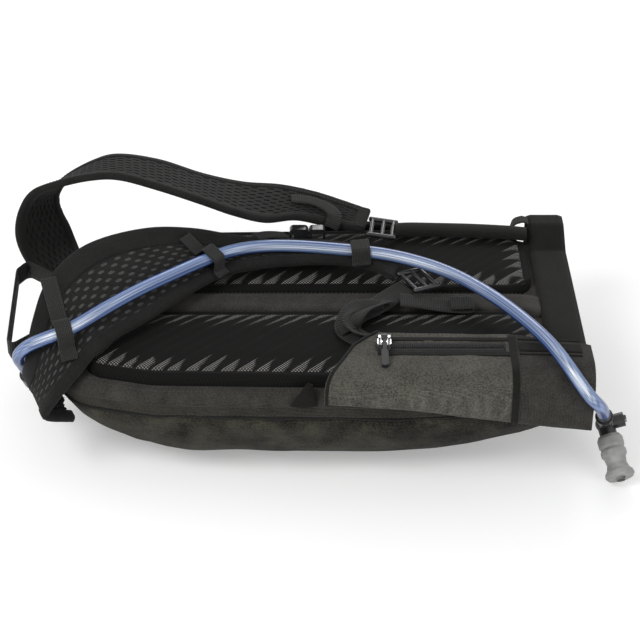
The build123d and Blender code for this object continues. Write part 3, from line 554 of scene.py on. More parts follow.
def perforation_tree():
    """A honeycomb sheet whose cells are cut to slots, laid by a guide's UV map."""
    tree, start, end = field_tree("slotted_foam", [
        ("Across", "NodeSocketInt", 9), ("Along", "NodeSocketInt", 60),
        ("Slot Width", "NodeSocketFloat", 0.32), ("Slot Length", "NodeSocketFloat", 0.66),
        ("Foam", "NodeSocketMaterial", None)])
    across, along = start.outputs["Across"], start.outputs["Along"]
    grid = g(tree, "GeometryNodeMeshGrid",
             {"Size X": 1.0, "Size Y": 1.0, "Vertices X": across, "Vertices Y": along})
    place = g(tree, "GeometryNodeInputPosition")
    split = g(tree, "ShaderNodeSeparateXYZ", {0: place.outputs[0]})
    gaps = maths(tree, "SUBTRACT", along, 1.0)
    row = maths(tree, "MULTIPLY", maths(tree, "ADD", split.outputs["Y"], 0.5), gaps)
    odd = maths(tree, "FLOORED_MODULO", maths(tree, "ROUND", row), 2.0)
    cells = maths(tree, "SUBTRACT", across, 1.0)
    shift = maths(tree, "MULTIPLY", maths(tree, "DIVIDE", odd, cells), 0.5)
    offset = g(tree, "ShaderNodeCombineXYZ", {"X": shift})
    sheared = g(tree, "GeometryNodeSetPosition",
                {"Geometry": grid.outputs["Mesh"], "Offset": offset.outputs[0]})
    triangles = g(tree, "GeometryNodeTriangulate", {0: sheared.outputs[0]})
    honeycomb = g(tree, "GeometryNodeDualMesh", {0: triangles.outputs[0]})
    inset = g(tree, "GeometryNodeExtrudeMesh",
              {"Mesh": honeycomb.outputs[0], "Offset Scale": 0.0, "Individual": True}, mode="FACES")
    slot = inset.outputs["Mesh"]
    for share, axis in (("Slot Width", (1, 0, 0)), ("Slot Length", (0, 1, 0))):
        shrink = one_way_scale(tree)
        tree.links.new(slot, shrink.inputs["Geometry"])
        tree.links.new(inset.outputs["Top"], shrink.inputs["Selection"])
        tree.links.new(start.outputs[share], shrink.inputs["Scale"])
        shrink.inputs["Axis"].default_value = axis
        slot = shrink.outputs[0]
    opened = g(tree, "GeometryNodeDeleteGeometry", {"Geometry": slot, "Selection": inset.outputs["Top"]},
               domain="FACE")
    held = g(tree, "GeometryNodeInputPosition").outputs[0]
    for how, amount in (("ADD", 0.5), ("MAXIMUM", 0.001), ("MINIMUM", 0.999)):
        held = g(tree, "ShaderNodeVectorMath", {0: held, 1: (amount, amount, 0.0)}, operation=how).outputs[0]
    chart_name = g(tree, "GeometryNodeInputNamedAttribute", {"Name": "UVMap"}, data_type="FLOAT_VECTOR")
    surface = g(tree, "GeometryNodeInputPosition")
    lookup = g(tree, "GeometryNodeSampleUVSurface", data_type="FLOAT_VECTOR")
    tree.links.new(start.outputs["Geometry"], lookup.inputs["Mesh"])
    tree.links.new(surface.outputs[0], lookup.inputs["Value"])
    for socket in lookup.inputs:
        if socket.name in ("UV Map", "Source UV Map"):
            tree.links.new(chart_name.outputs[0], socket)
        if socket.name == "Sample UV":
            tree.links.new(held, socket)
    laid = g(tree, "GeometryNodeSetPosition",
             {"Geometry": opened.outputs[0], "Position": lookup.outputs[0]})
    painted = g(tree, "GeometryNodeSetMaterial",
                {"Geometry": laid.outputs[0], "Material": start.outputs["Foam"]})
    real = g(tree, "GeometryNodeRealizeInstances", {0: painted.outputs[0]})
    tree.links.new(real.outputs[0], end.inputs[0])
    return tree


SLOTS = perforation_tree()

# %% The straps' edges, from root to end
NEAR_STRAP = [
    ((-197, -64, 57), (-179, -98, 53)),
    ((-216, -64, 69), (-197, -108, 62)),
    ((-214, -69, 86), (-190, -109, 76)),
    ((-209, -52, 111), (-174, -98, 92)),
    ((-200, -27, 129), (-155, -76, 104)),
    ((-176, 2, 140), (-125, -44, 106)),
    ((-137, 30, 138), (-100, -12, 106)),
    ((-100, 50, 127), (-74, 15, 106.5)),
    ((-60, 56, 116), (-48, 26, 107)),
    ((-20, 60, 111), (-18, 32, 107)),
    ((14, 58, 110), (14, 33, 107)),
    ((42, 47, 109.5), (40, 25, 107)),
    ((62, 30, 109), (56, 9.5, 107)),
]
FAR_STRAP = [
    ((-196, 54, 57), (-178, 94, 53)),
    ((-220, 64, 72), (-196, 112, 66)),
    ((-234, 71, 88), (-202, 119, 76)),
    ((-240, 76, 106), (-206, 120, 90)),
    ((-237, 82, 124), (-212, 121, 106)),
    ((-226, 84, 140), (-212, 121, 120)),
    ((-204, 77, 152), (-202, 118, 136)),
    ((-178, 71, 161), (-180, 117, 150)),
    ((-154, 64, 165), (-160, 116, 156)),
    ((-122, 54, 161), (-128, 114, 152)),
    ((-92, 50, 152), (-94, 108, 143)),
    ((-66, 49, 142), (-62, 107, 136)),
    ((-42, 55, 132), (-32, 112, 131)),
    ((-18, 74, 123), (-4, 113, 124)),
    ((8, 79, 114), (22, 112, 115)),
    ((34, 81, 108), (40, 108, 110)),
]


def strap_edges(stations, count):
    """Both edges and the upward way of a strap, at even steps along it, in metres."""
    both = smooth_line([[*a, *b] for a, b in stations], count) * MM
    outer, inner = both[:, :3], both[:, 3:]
    middle = (outer + inner) / 2
    up = unit(np.cross(np.gradient(middle, axis=0), inner - outer))
    return outer, inner, up


STEP_ACROSS, STEP_ALONG = 0.006, 0.0062     # from slot to slot
FOAM_THICK, TAPE_THICK, END_TAPE_THICK = 0.0045, 0.0058, 0.0062
LINER_DROP, LINER_THICK = 0.0019, 0.0006
ON_TAPE = 0.0031            # from the strap's middle to its stitches


def slotted_strap(name, stations):
    """The strap's foam with its slots, laid on a guide through the guide's UV map."""
    outer, inner, up = strap_edges(stations, 120)
    shares = np.linspace(0, 1, 9)
    rows = outer[:, None] * (1 - shares[None, :, None]) + inner[:, None] * shares[None, :, None]
    guide = skin(name, rows)
    chart = guide.data.uv_layers.new(name="UVMap")
    for loop in guide.data.loops:
        i, j = divmod(loop.vertex_index, len(shares))
        chart.data[loop.index].uv = (shares[j], i / (len(rows) - 1))
    length = np.linalg.norm(np.diff((outer + inner) / 2, axis=0), axis=1).sum()
    width = np.linalg.norm(outer - inner, axis=1).mean()
    run_tree(guide, SLOTS, Across=int(width / STEP_ACROSS) + 2, Along=int(length / STEP_ALONG) + 2,
             Slot_Width=0.30, Slot_Length=0.80, Foam=strap_foam)
    thicken(guide, FOAM_THICK, 0)
    print(name, "length", round(length, 3), "m, faces", len(guide.data.polygons))
    return guide, outer, inner, up


def edge_tape(name, edge, inward, up, width, thick):
    """Binding folded over an edge: a flat ring of tape, rounded at its outside."""
    w, h = width, thick / 2
    over = [(w, h * 0.9), (w * 0.9, h), (w * 0.35, h * 1.05), (0.0012, h), (-0.0002, h * 0.7)]
    profile = over + [(-0.0008, 0)] + [(s, -t) for s, t in reversed(over)]
    rows = [[e + i * s + u * t for s, t in profile] for e, i, u in zip(edge, inward, up)]
    return face_out(skin(name, rows, around=True, capped=True))


def strap_liner(name, outer, inner, up, node):
    """The lighter cloth under the slots, on the strap's lower side."""
    shares = np.linspace(0.04, 0.96, 7)
    rows = [[o * (1 - t) + i * t - u * LINER_DROP for t in shares] for o, i, u in zip(outer, inner, up)]
    liner = thicken(skin(name, rows), LINER_THICK)
    dress(face_out(liner), strap_lining, "pack", [node])


def strap(name, stations, node, tape_outer, tape_inner, lined=False):
    """Slotted foam, a binding along each edge and one across the end."""
    foam, outer, inner, up = slotted_strap(name + "_foam", stations)
    if lined:
        strap_liner(name + "_liner", outer, inner, up, node)
    dress(foam, strap_foam, "pack", [node])
    inward = unit(inner - outer)
    sides = (("outer", outer, inward, tape_outer), ("inner", inner, -inward, tape_inner))
    for side, edge, way, width in sides:
        tape = edge_tape(f"{name}_{side}_binding", edge, way, up, width, TAPE_THICK)
        dress(tape, binding_tape, "pack", [node])
        for share in (0.15, 0.85) if width > 0.012 else (0.75,):
            sew("pack", edge + way * width * share + up * ON_TAPE)
    back = unit((outer[-4] + inner[-4]) - (outer[-1] + inner[-1]))
    end = np.array([outer[-1] * (1 - t) + inner[-1] * t for t in np.linspace(0.01, 0.99, 24)])
    same_way = [np.repeat(way[None], len(end), axis=0) for way in (back, up[-1])]
    tape = edge_tape(f"{name}_end_binding", end, *same_way, 0.009, END_TAPE_THICK)
    dress(tape, binding_tape, "pack", [node])


strap("near_strap", NEAR_STRAP, "near_shoulder_strap", 0.018, 0.0085, lined=True)
strap("far_strap", FAR_STRAP, "far_shoulder_strap", 0.0075, 0.0075)

# %% [markdown]
# ## The bag
# A soft pack is a lofted shell.  One outline with rounded corners is drawn once, then scaled and
# shifted level by level, as a tailor's pattern is graded.  Perlin noise pushes the cloth a
# few millimetres in and out, so that light finds slack and tension in it.
# %% Outlines with rounded corners
def rounded_ring(corners, radii, arc, steps):
    """A closed line round the corners: each corner is an arc, each straight run is divided."""
    p = np.asarray(corners, float)
    n = len(p)
    points = []
    for i in range(n):
        before, here, after = p[i - 1], p[i], p[(i + 1) % n]
        a, b = unit(before - here), unit(after - here)
        half = math.acos(np.clip(np.dot(a, b), -1, 1)) / 2
        reach = radii[i] / math.tan(half)
        start, stop = here + a * reach, here + b * reach
        centre = here + unit(a + b) * radii[i] / math.sin(half)
        for t in np.linspace(0, 1, arc):
            way = (start - centre) * (1 - t) + (stop - centre) * t
            points.append(centre + unit(way) * radii[i])
        following = p[(i + 2) % n]
        c, d = unit(here - after), unit(following - after)
        next_half = math.acos(np.clip(np.dot(c, d), -1, 1)) / 2
        arrive = after + c * radii[(i + 1) % n] / math.tan(next_half)
        for t in np.linspace(0, 1, steps + 2)[1:-1]:
            points.append(stop * (1 - t) + arrive * t)
    return np.array(points)


SIDE = [(-212, 50, 30), (-180, 98, 40), (-120, 113, 60), (60, 117, 80), (150, 110, 60), (197, 97, 18)]
CENTRE_X, TOP_X, MID_HALF = 5.0, -212.0, 117.0
far_half = [(x, h) for x, h, r in SIDE]
near_half = [(x, -h) for x, h, r in reversed(SIDE)]
outline_radii = [r for x, h, r in SIDE] + [r for x, h, r in reversed(SIDE)]
rim = rounded_ring(far_half + near_half, outline_radii, arc=7, steps=14)
print("outline points:", len(rim))


def plan(z, long_share=1.0, wide_share=1.0, shift=0.0, inset=0.0):
    """The rim's outline at a height, graded and moved in by an inset."""
    long_share = long_share - inset / (CENTRE_X - TOP_X)
    wide_share = wide_share - inset / MID_HALF
    x = CENTRE_X + shift + (rim[:, 0] - CENTRE_X) * long_share
    return np.stack([x, rim[:, 1] * wide_share, np.full(len(rim), float(z))], axis=1)


def half_width(x):
    """The rim's half width at a distance along the pack."""
    far = rim[rim[:, 1] > 0]
    order = np.argsort(far[:, 0])
    return np.interp(x, far[order, 0], far[order, 1])


def slack(points, normals, amount, scale, stretch=(1, 1, 1), seed=0.0):
    """Pushes points along their normals by smooth noise."""
    moved = points.copy()
    for i, (p, n) in enumerate(zip(points, normals)):
        x, y, z = (p[k] * stretch[k] * scale for k in range(3))
        place = Vector((x + seed, y, z))
        moved[i] = p + n * amount * perlin.noise(place)
    return moved

# %% [markdown]
# ## Swelling the bag
# A filled bag bulges between its seams.  Blender's cloth finds that shape by itself from a little
# pressure inside.  The rim and the floor are pinned, and no point may go further than a cap, so
# the bag stays the size of its solid.
# %% Cloth simulation
def inflate(piece, cap, held, voxel=0.005, pressure=4.0, frames=20):
    """Swells a closed piece with Blender's cloth: held(points) says which points stay."""
    remesh = piece.modifiers.new("even_mesh", "REMESH")
    remesh.mode = "VOXEL"
    remesh.voxel_size = voxel
    finish_modifiers(piece)
    mesh = piece.data
    rest = np.array([v.co for v in mesh.vertices])
    pins = piece.vertex_groups.new(name="pins")
    pins.add([int(i) for i in np.flatnonzero(held(rest))], 1.0, "REPLACE")
    sim = piece.modifiers.new("cloth", "CLOTH")
    sim.settings.vertex_group_mass = "pins"
    sim.settings.quality = 5
    sim.settings.use_pressure = True
    sim.settings.uniform_pressure_force = pressure
    sim.settings.effector_weights.gravity = 0
    sim.point_cache.frame_end = frames
    for frame in range(1, frames + 1):
        bpy.context.scene.frame_set(frame)
    graph = bpy.context.evaluated_depsgraph_get()
    moved = np.array([v.co for v in piece.evaluated_get(graph).data.vertices])
    piece.modifiers.clear()
    piece.vertex_groups.clear()
    bpy.context.scene.frame_set(1)
    step = moved - rest
    size = np.linalg.norm(step, axis=1, keepdims=True)
    step *= np.minimum(1, cap / np.maximum(size, 1e-9))
    end = rest + step
    end[:, 2] = np.maximum(end[:, 2], 0)
    mesh.vertices.foreach_set("co", end.ravel())
    smoother = piece.modifiers.new("finer", "SUBSURF")
    smoother.levels = 1
    finish_modifiers(piece)
    for polygon in piece.data.polygons:
        polygon.use_smooth = True
    print(piece.name, "swells by", round(float(size.max()) * 1000, 1), "mm at most, capped at", cap * 1000)
    return piece

# %% The bag's cloth
LEVELS = [(0, 0.44, 0.50, -18), (14, 0.64, 0.73, -14), (32, 0.81, 0.875, -8), (54, 0.94, 0.965, -3),
          (76, 1, 1, 0)]    # height, share of the length, share of the width, shift along
SEAM_Z, BAND_TOP = 66.0, 77.0
SLACK_FROM, SLACK_TO = 2, 77.5                  # heights between which the cloth is loose
HELD_BELOW, HELD_ABOVE, SWELL = 0.0015, 0.063, 0.003    # for the cloth simulation, in metres


def bag_rows(low, high, count):
    """Graded outlines from one height to another."""
    graded = smooth_line(LEVELS, 200)
    rows = []
    for z in np.linspace(low, high, count):
        ls, ws, shift = (np.interp(z, graded[:, 0], graded[:, k]) for k in (1, 2, 3))
        rows.append(plan(z, ls, ws, shift))
    return np.array(rows)


def outward(rows):
    """Level directions away from each ring's middle."""
    flat = rows.copy()
    way = flat - flat.mean(axis=1, keepdims=True)
    way[..., 2] = 0
    return unit(way)


def cloth_of_bag(rows, amount, seed):
    """Slack cloth: broad sag with finer diagonal puckers, none at the floor or the rim."""
    way = outward(rows)
    z = rows[..., 2]
    hold = np.clip(np.minimum((z - SLACK_FROM) / 12, (SLACK_TO - z) / 8), 0, 1)[..., None]
    shape = rows.shape
    p, n = rows.reshape(-1, 3), way.reshape(-1, 3)
    broad = slack(p, n, amount * 1.6, 0.018, (1, 1, 1.6), seed) - p
    fine = slack(p, n, amount * 0.9, 0.05, (1, 1, 2.4), seed + 7.3) - p
    return rows + (broad + fine).reshape(shape) * hold


lower = cloth_of_bag(bag_rows(0, SEAM_Z, 60), 2.6, 3.0)
upper = cloth_of_bag(bag_rows(SEAM_Z, BAND_TOP, 10), 0.5, 3.0)
upper[0] = lower[-1]
foot = lower[0]
foot_rings = [foot * np.array([s, s, 0]) + np.array([(1 - s) * foot[:, 0].mean(), 0, 0]) for s in (0.05, 0.5)]
bag = face_out(skin("bag_cloth", np.array([*foot_rings, *lower]) * MM, around=True, capped=True))
inflate(bag, SWELL, lambda p: (p[:, 2] > HELD_ABOVE) | (p[:, 2] < HELD_BELOW))
dress(bag, bag_cloth, "pack", ["pack_shell"])
cap = [upper[-1] * np.array([s, s, 1]) for s in (0.9, 0.05)]
closed_form("side_band", np.array([*upper, *cap]) * MM, side_cloth, "pack", ["pack_shell"])


def closed_cord(name, line, radius, material, body):
    """A round cord round a closed line: piping."""
    around = np.linspace(0, math.tau, 8, endpoint=False)
    way = unit(np.roll(line, -1, axis=0) - np.roll(line, 1, axis=0))
    side = unit(np.cross(way, (0, 0, 1)))
    rise = np.cross(side, way)
    rows = np.array([[p + s * radius * math.cos(a) + r * radius * math.sin(a) for a in around]
                     for p, s, r in zip(line, side, rise)])
    rows = np.vstack([rows, rows[:1]])
    piece = face_out(skin(name, rows, around=True))
    return dress(piece, material, body)


closed_cord("seam_piping", lower[-1] * MM, 0.0012, binding_tape, "pack")
for step in (-3, 2):
    seam_row = (lower[step - 1] if step < 0 else upper[step]) + outward(upper[:1])[0] * 0.15
    sew("pack", seam_row * MM, closed=True)
print("bag rows:", len(lower) + len(upper))

# %% [markdown]
# ## Back panel and pads
# The panel is the same outline once more, leaned in and rounded over.  Each pad is a crowned
# cushion: its height rises steeply from the bound edge and then swells slowly, and a stitched
# groove runs inside the edge.
# %% Back panel
PANEL_TOP = 87.0
profile = [(75.6, 0.2), (77.5, -0.4), (80, 0.1), (82.6, 1.4), (84.8, 3.2), (86.3, 5.2), (PANEL_TOP, 7.4),
           (PANEL_TOP, 10.5)]   # height, and how far in from the rim
panel_rows = [plan(z, inset=i) for z, i in profile]
flat_top = panel_rows[-1]
for share in (0.86, 0.7, 0.5, 0.3, 0.12, 0.02):
    ring = flat_top * np.array([1, share, 1])
    ring[:, 0] = CENTRE_X + (flat_top[:, 0] - CENTRE_X) * (0.75 + 0.25 * share)
    ring[:, 2] = PANEL_TOP - 1.4 * np.exp(-(ring[:, 1] / 11) ** 2)
    panel_rows.append(ring)
closed_form("back_panel_cloth", np.array(panel_rows) * MM, panel_grey, "pack", ["back_panel"])
for inset in (4.6, 8.2):
    line = plan(PANEL_TOP, inset=inset)
    heights, insets = zip(*profile[2:])
    line[:, 2] = np.interp(inset, insets, heights) + 0.1
    sew("pack", line * MM, closed=True)

# %% Mesh finish of the pads
RIB_STEP = 12.8
EYELET_STEP = 0.00165


def air_mesh(name):
    """Air mesh over foam: staggered eyelets on slanted ribs, with pale eyelets as painted highlight near the
    pad's edges and along the ribs.
    """
    material, tree, shader = new_material(name)
    place = where(tree)
    split = put(tree, "ShaderNodeSeparateXYZ", i0=place)
    turn = put(tree, "ShaderNodeMapping", Vector=place, Rotation=(0, 0, math.radians(45)))
    eyelets = put(tree, "ShaderNodeTexVoronoi", Vector=turn.outputs[0], Scale=1 / EYELET_STEP, Randomness=0.0)
    eyelets.voronoi_dimensions = "2D"
    eyelet = ramp(tree, eyelets.outputs["Distance"], [(0.26, (1, 1, 1)), (0.38, (0, 0, 0))])
    across = tree.nodes.new("ShaderNodeAttribute")
    across.attribute_name = "edge_share"
    rib = maths(tree, "SUBTRACT", split.outputs["X"], split.outputs["Y"])
    rib = maths(tree, "FRACT", maths(tree, "DIVIDE", maths(tree, "ADD", rib, 1.0), RIB_STEP * MM))
    wobble = put(tree, "ShaderNodeTexNoise", Vector=place, Scale=55.0, Detail=2.0)
    # Painted highlight: pale eyelets in teeth near the pad's edges, where the slopes catch the light, and
    # along the rib lines.
    near_edge = maths(tree, "MULTIPLY", maths(tree, "SUBTRACT", 0.21, across.outputs["Fac"]), 4.0)
    highlight_tooth = maths(tree, "SUBTRACT", near_edge, rib)
    highlight_tooth = maths(tree, "ADD", highlight_tooth, maths(tree, "MULTIPLY_ADD", wobble.outputs["Fac"], 0.9, -0.42))
    painted_edge_highlight = ramp(tree, highlight_tooth, [(0.0, (0, 0, 0)), (0.22, (1, 1, 1))])
    line = ramp(tree, rib, [(0.0, (0.38, 0.38, 0.38)), (0.07, (0, 0, 0))])
    inside = ramp(tree, across.outputs["Fac"], [(0.96, (1, 1, 1)), (0.99, (0, 0, 0))])
    strength = maths(tree, "MAXIMUM", painted_edge_highlight, maths(tree, "MULTIPLY", line, wobble.outputs["Fac"]))
    pale = maths(tree, "MULTIPLY", maths(tree, "MULTIPLY", eyelet, strength), inside)
    hole = maths(tree, "MULTIPLY_ADD", eyelet, -0.5, 0.5)
    tone = maths(tree, "MULTIPLY_ADD", hole, 0.16, 0.02)
    tone = maths(tree, "MULTIPLY_ADD", pale, 0.85, tone)
    greys = [(0.0, near_black(0.001)), (0.12, near_black(0.005, 0.0005)), (0.9, (0.26, 0.255, 0.24))]
    feed(tree, shader, Base_Color=ramp(tree, tone, greys), Roughness=0.85, Specular_IOR_Level=0.12)
    ridge = maths(tree, "MULTIPLY_ADD", rib, 2.0, maths(tree, "MULTIPLY", eyelets.outputs["Distance"], 0.5))
    bump_from(tree, shader, ridge, 0.0006, 0.7)
    return material


pad_mesh = air_mesh("pad_air_mesh")

# %% Pads
PAD_ENDS, PAD_INNER, PAD_ROUND, PAD_END_ROUND = (-170.0, 165.0), 14.0, 14.0, 24.0
PAD_MARGIN = 10             # from the pad to the pack's rim
GROOVE = 7.5                # from the pad's edge to its sewn groove
UNDER, SIDE_UP, CROWN, GROOVE_DEEP, RIB_UP = 86.8, 8.4, 2.0, 1.3, 0.35
SEWN_AT = 94.6
EDGE_ROUND, CROWN_REACH, GROOVE_WIDE = 4.5, 30, 1.3
RIBS_START, RIBS_RISE, HIGHLIGHT_TEETH_START = 9, 6, 7.0      # in from the pad's edge


def eased(count):
    """From 0 to 1 in steps that are small at both ends."""
    return (1 - np.cos(np.linspace(0, math.pi, count))) / 2


def pad(name, side, node):
    """A crowned pad with a sewn groove inside its edge; side is -1 near, 1 far."""
    start, stop = PAD_ENDS
    along_pad = start + (stop - start) * (0.35 * eased(120) + 0.65 * np.linspace(0, 1, 120))
    shares = eased(42)
    rows, edge_share = [], []
    for x in along_pad:
        turn = PAD_ROUND if x < 0 else PAD_END_ROUND
        d = min(x - start, stop - x, turn)
        cut = turn - math.sqrt(max(turn ** 2 - (turn - d) ** 2, 0))
        low, high = PAD_INNER + cut, half_width(x) - PAD_MARGIN - cut
        y = low + (high - low) * shares
        e = np.minimum(np.minimum(y - low, high - y), min(x - start, stop - x))
        rise = np.sqrt(1 - (1 - np.clip(e / EDGE_ROUND, 0, 1)) ** 2)
        z = UNDER + SIDE_UP * rise + CROWN * np.clip(e / CROWN_REACH, 0, 1)
        z = z - GROOVE_DEEP * np.exp(-((e - GROOVE) / GROOVE_WIDE) ** 2)
        ribbed = np.clip((e - RIBS_START) / RIBS_RISE, 0, 1)
        z = z + RIB_UP * np.sin(math.tau * (x - side * y) / RIB_STEP) * ribbed
        top = np.stack([np.full_like(y, x), side * y, z], axis=1)
        under = top[::-7].copy()
        under[:, 2] = UNDER - 0.1
        rows.append(np.vstack([top, under]))
        # edge_share places the air mesh's painted highlight in from the pad's edges.
        share = np.where(e > HIGHLIGHT_TEETH_START, (e - HIGHLIGHT_TEETH_START) / max(high - low, 1), 1.0)
        edge_share.append(np.concatenate([share, share[::-7]]))
    piece = skin(name, np.array(rows) * MM, around=True, capped=True)
    mark = piece.data.attributes.new("edge_share", "FLOAT", "POINT")
    mark.data.foreach_set("value", np.array(edge_share).ravel().astype(np.float32))
    face_out(piece)
    dress(piece, pad_mesh, "pack", [node])
    inside = along_pad[(along_pad > start + 7) & (along_pad < stop - 7)]
    groove = [(x, side * (PAD_INNER + GROOVE), SEWN_AT) for x in inside]
    groove += [(x, side * (half_width(x) - PAD_MARGIN - GROOVE), SEWN_AT) for x in inside[::-1]]
    sew("pack", np.array(groove) * MM, closed=True)


pad("near_pad", -1, "near_back_pad")
pad("far_pad", 1, "far_back_pad")
print("pads: 2")

# %% [markdown]
# ## Webbing, bands and loops
# Webbing is a flat ribbon laid along a line.  Each point remembers how far along and across the
# weave it lies, in an attribute called "lay", so the material can rib it crosswise however it
# bends.
# %% Ribbon helpers
def rounded_line(corners, radii, arc=6, step=2.0):
    """An open line with rounded corners, in evenly small steps."""
    p = np.asarray(corners, float)
    points = [p[0]]
    for i in range(1, len(p) - 1):
        a, b = unit(p[i - 1] - p[i]), unit(p[i + 1] - p[i])
        half = math.acos(np.clip(np.dot(a, b), -1, 1)) / 2
        reach = radii[i - 1] / math.tan(half)
        centre = p[i] + unit(a + b) * radii[i - 1] / math.sin(half)
        start, stop = p[i] + a * reach - centre, p[i] + b * reach - centre
        for t in np.linspace(0, 1, arc):
            points.append(centre + unit(start * (1 - t) + stop * t) * radii[i - 1])
    points = np.array(points + [p[-1]])
    run = np.concatenate([[0], np.cumsum(np.linalg.norm(np.diff(points, axis=0), axis=1))])
    at = np.unique(np.concatenate([run, np.arange(0, run[-1], step)]))
    return np.stack([np.interp(at, run, points[:, k]) for k in range(p.shape[1])], axis=1)


def ribbon(name, line, across, width, thick, material, body, slot, replaces=(), selvedge=0.15,
           flat_steps=9, round_power=0):
    """Webbing along a line in mm: across is one direction or one for each point.

    Each point's place in the weave is stored in the attribute "lay", in metres.
    """
    line = np.asarray(line, float)
    across = unit(np.broadcast_to(np.asarray(across, float), line.shape))
    run = unit(np.gradient(line, axis=0))
    up = unit(np.cross(run, across))
    across = unit(np.cross(up, run))
    along = np.concatenate([[0], np.cumsum(np.linalg.norm(np.diff(line, axis=0), axis=1))])
    s = np.linspace(-1, 1, flat_steps)
    ridge = 1 + selvedge * np.exp(-((np.abs(s) - 0.86) / 0.08) ** 2)
    height = thick / 2 * (1 - 0.75 * np.abs(s) ** 14) * ridge
    if round_power:
        height = thick / 2 * np.sqrt(1.02 - np.abs(s) ** round_power)
    section = [(x * width / 2, h) for x, h in zip(s, height)]
    section += [(x, -h) for x, h in section[::-1]]
    rows = np.array([[p + a * x + u * h for x, h in section] for p, a, u in zip(line, across, up)])
    piece = skin(name, rows * MM, around=True, capped=True)
    lay = np.array([[(d, x, h) for x, h in section] for d in along]) * MM
    mark = piece.data.attributes.new("lay", "FLOAT_VECTOR", "POINT")
    mark.data.foreach_set("vector", lay.astype(np.float32).ravel())
    face_out(piece)
    return dress(piece, material, body, replaces)


def woven(name, dark, light, rib=0.0017, lengthwise=False):
    """Webbing: ribs across it (or along it), fine cords the other way, and a little fluff."""
    material, tree, shader = new_material(name)
    lay = where(tree, "lay")
    ribs = put(tree, "ShaderNodeTexWave", Vector=lay, Scale=WAVE / rib, Distortion=0.5, Detail=1.0)
    ribs.bands_direction = "Y" if lengthwise else "X"
    cords = put(tree, "ShaderNodeTexWave", Vector=lay, Scale=WAVE / 0.0011, Distortion=0.4, Detail=1.0)
    cords.bands_direction = "X" if lengthwise else "Y"
    fibre = put(tree, "ShaderNodeTexNoise", Vector=where(tree), Scale=1500.0, Detail=3.0)
    tone = maths(tree, "MULTIPLY", ribs.outputs["Fac"], 0.55)
    tone = maths(tree, "MULTIPLY_ADD", cords.outputs["Fac"], 0.2, tone)
    tone = maths(tree, "MULTIPLY_ADD", fibre.outputs["Fac"], 0.5, tone)
    tone = maths(tree, "SUBTRACT", tone, 0.2)
    feed(tree, shader, Base_Color=ramp(tree, tone, [(0.0, dark), (1.0, light)]), Roughness=0.8,
         Sheen_Weight=0.05, Specular_IOR_Level=0.2)
    height = maths(tree, "MULTIPLY_ADD", cords.outputs["Fac"], 0.3, ribs.outputs["Fac"])
    bump_from(tree, shader, height, 0.0005, 0.8)
    return material


ribbed_webbing = woven("ribbed_webbing", near_black(0.003), near_black(0.034, 0.002))
ribbed_elastic = woven("ribbed_elastic", near_black(0.004), near_black(0.040, 0.002), rib=0.0012,
                       lengthwise=True)

# %% Lumbar band, haul loop
BAND_X, BAND_WIDE, BAND_LOW, BAND_HIGH = 182.0, 29.0, 88.8, 100.8
band_line = rounded_line([(-64, BAND_LOW), (80, BAND_LOW), (102, BAND_HIGH), (122.5, BAND_HIGH), (122.5, 62)],
                         [12, 10, 8.5])
band = np.stack([np.full(len(band_line), BAND_X), band_line[:, 0], band_line[:, 1]], axis=1)
ribbon("lumbar_band_cloth", band, (1, 0, 0), BAND_WIDE, 3.0, smooth_cloth, "pack", "panel_fabric",
       ["lumbar_band"], selvedge=0.25)
band_up = unit(np.cross(unit(np.gradient(band, axis=0)), (1, 0, 0)))
for offset in (-12, 12):
    sew("pack", (band + band_up * 1.6 + np.array([offset, 0, 0])) * MM)

haul_line = rounded_line([(-203, 36), (-231, 62), (-238, 50), (-231, -48), (-227, -57), (-203, -33)],
                         [4, 6, 6, 3])
sag = np.interp(haul_line[:, 0], [-238, -214], [1.6, 0])
haul = np.stack([haul_line[:, 0], haul_line[:, 1], 85.5 - sag], axis=1)
ribbon("haul_webbing", haul, (0, 0, 1), 15.0, 1.8, ribbed_webbing, "pack", "webbing", ["haul_loop"])
for height in (-6, 6):
    sew("pack", (haul + np.array([0, 0, height])) * MM)

# %% Padded air channel between the pads
channel = smooth_line([(-176, 0, 83.5), (-160, 0, 86.6), (-100, 0, 87.2), (80, 0, 87.2), (150, 0, 86.6),
                       (166, 0, 84.0)], 120)
ribbon("air_channel_cloth", channel, (0, 1, 0), 27.4, 13.4, panel_grey, "pack", "panel_fabric",
       flat_steps=25, selvedge=0.0, round_power=6)
for offset in (-11.2, 11.2):
    sew("pack", (channel + np.array([0, offset, 6.4])) * MM)

# %% Small loop beside the standing fold
small = rounded_line([(168, 89.6), (160, 90.2), (154, 95), (156, 104), (163, 106.5), (167, 104.5)],
                     [3, 4, 5, 4])
small = [(x, 104 - 0.1 * (z - 90), z) for x, z in small]
ribbon("fold_side_loop", small, (0, 1, 0), 11.0, 1.6, ribbed_webbing, "pack", "webbing")

# %% Adjuster webbings
WEB_THICK = 1.4
WEBBING_OF_PACK = (ribbed_webbing, "pack", "webbing")


def level_ways(line):
    """Level directions across a line."""
    run = np.gradient(line, axis=0)
    return np.stack([-run[:, 1], run[:, 0], np.zeros(len(run))], axis=1)


def level_web(name, middles, width, node):
    """Webbing that lies level along a smooth line."""
    line = smooth_line(middles, max(12, len(middles) * 6))
    ribbon(name, line, level_ways(line), width, WEB_THICK, *WEBBING_OF_PACK, [node])


UNDER_WING = 97 + 0.4 + WEB_THICK / 2
level_web("near_adjuster", [
    (66, 4, 103.2), (58, -2, 101.6), (48, -12, 100.6), (37, -23, 100.2), (27, -31, 100), (21, -41, 99.6),
    (22, -52, 98.8), (32, -61, UNDER_WING), (52, -69, UNDER_WING), (94, -78, UNDER_WING),
    (136, -85, UNDER_WING)], 20.0, "near_adjuster_webbing")

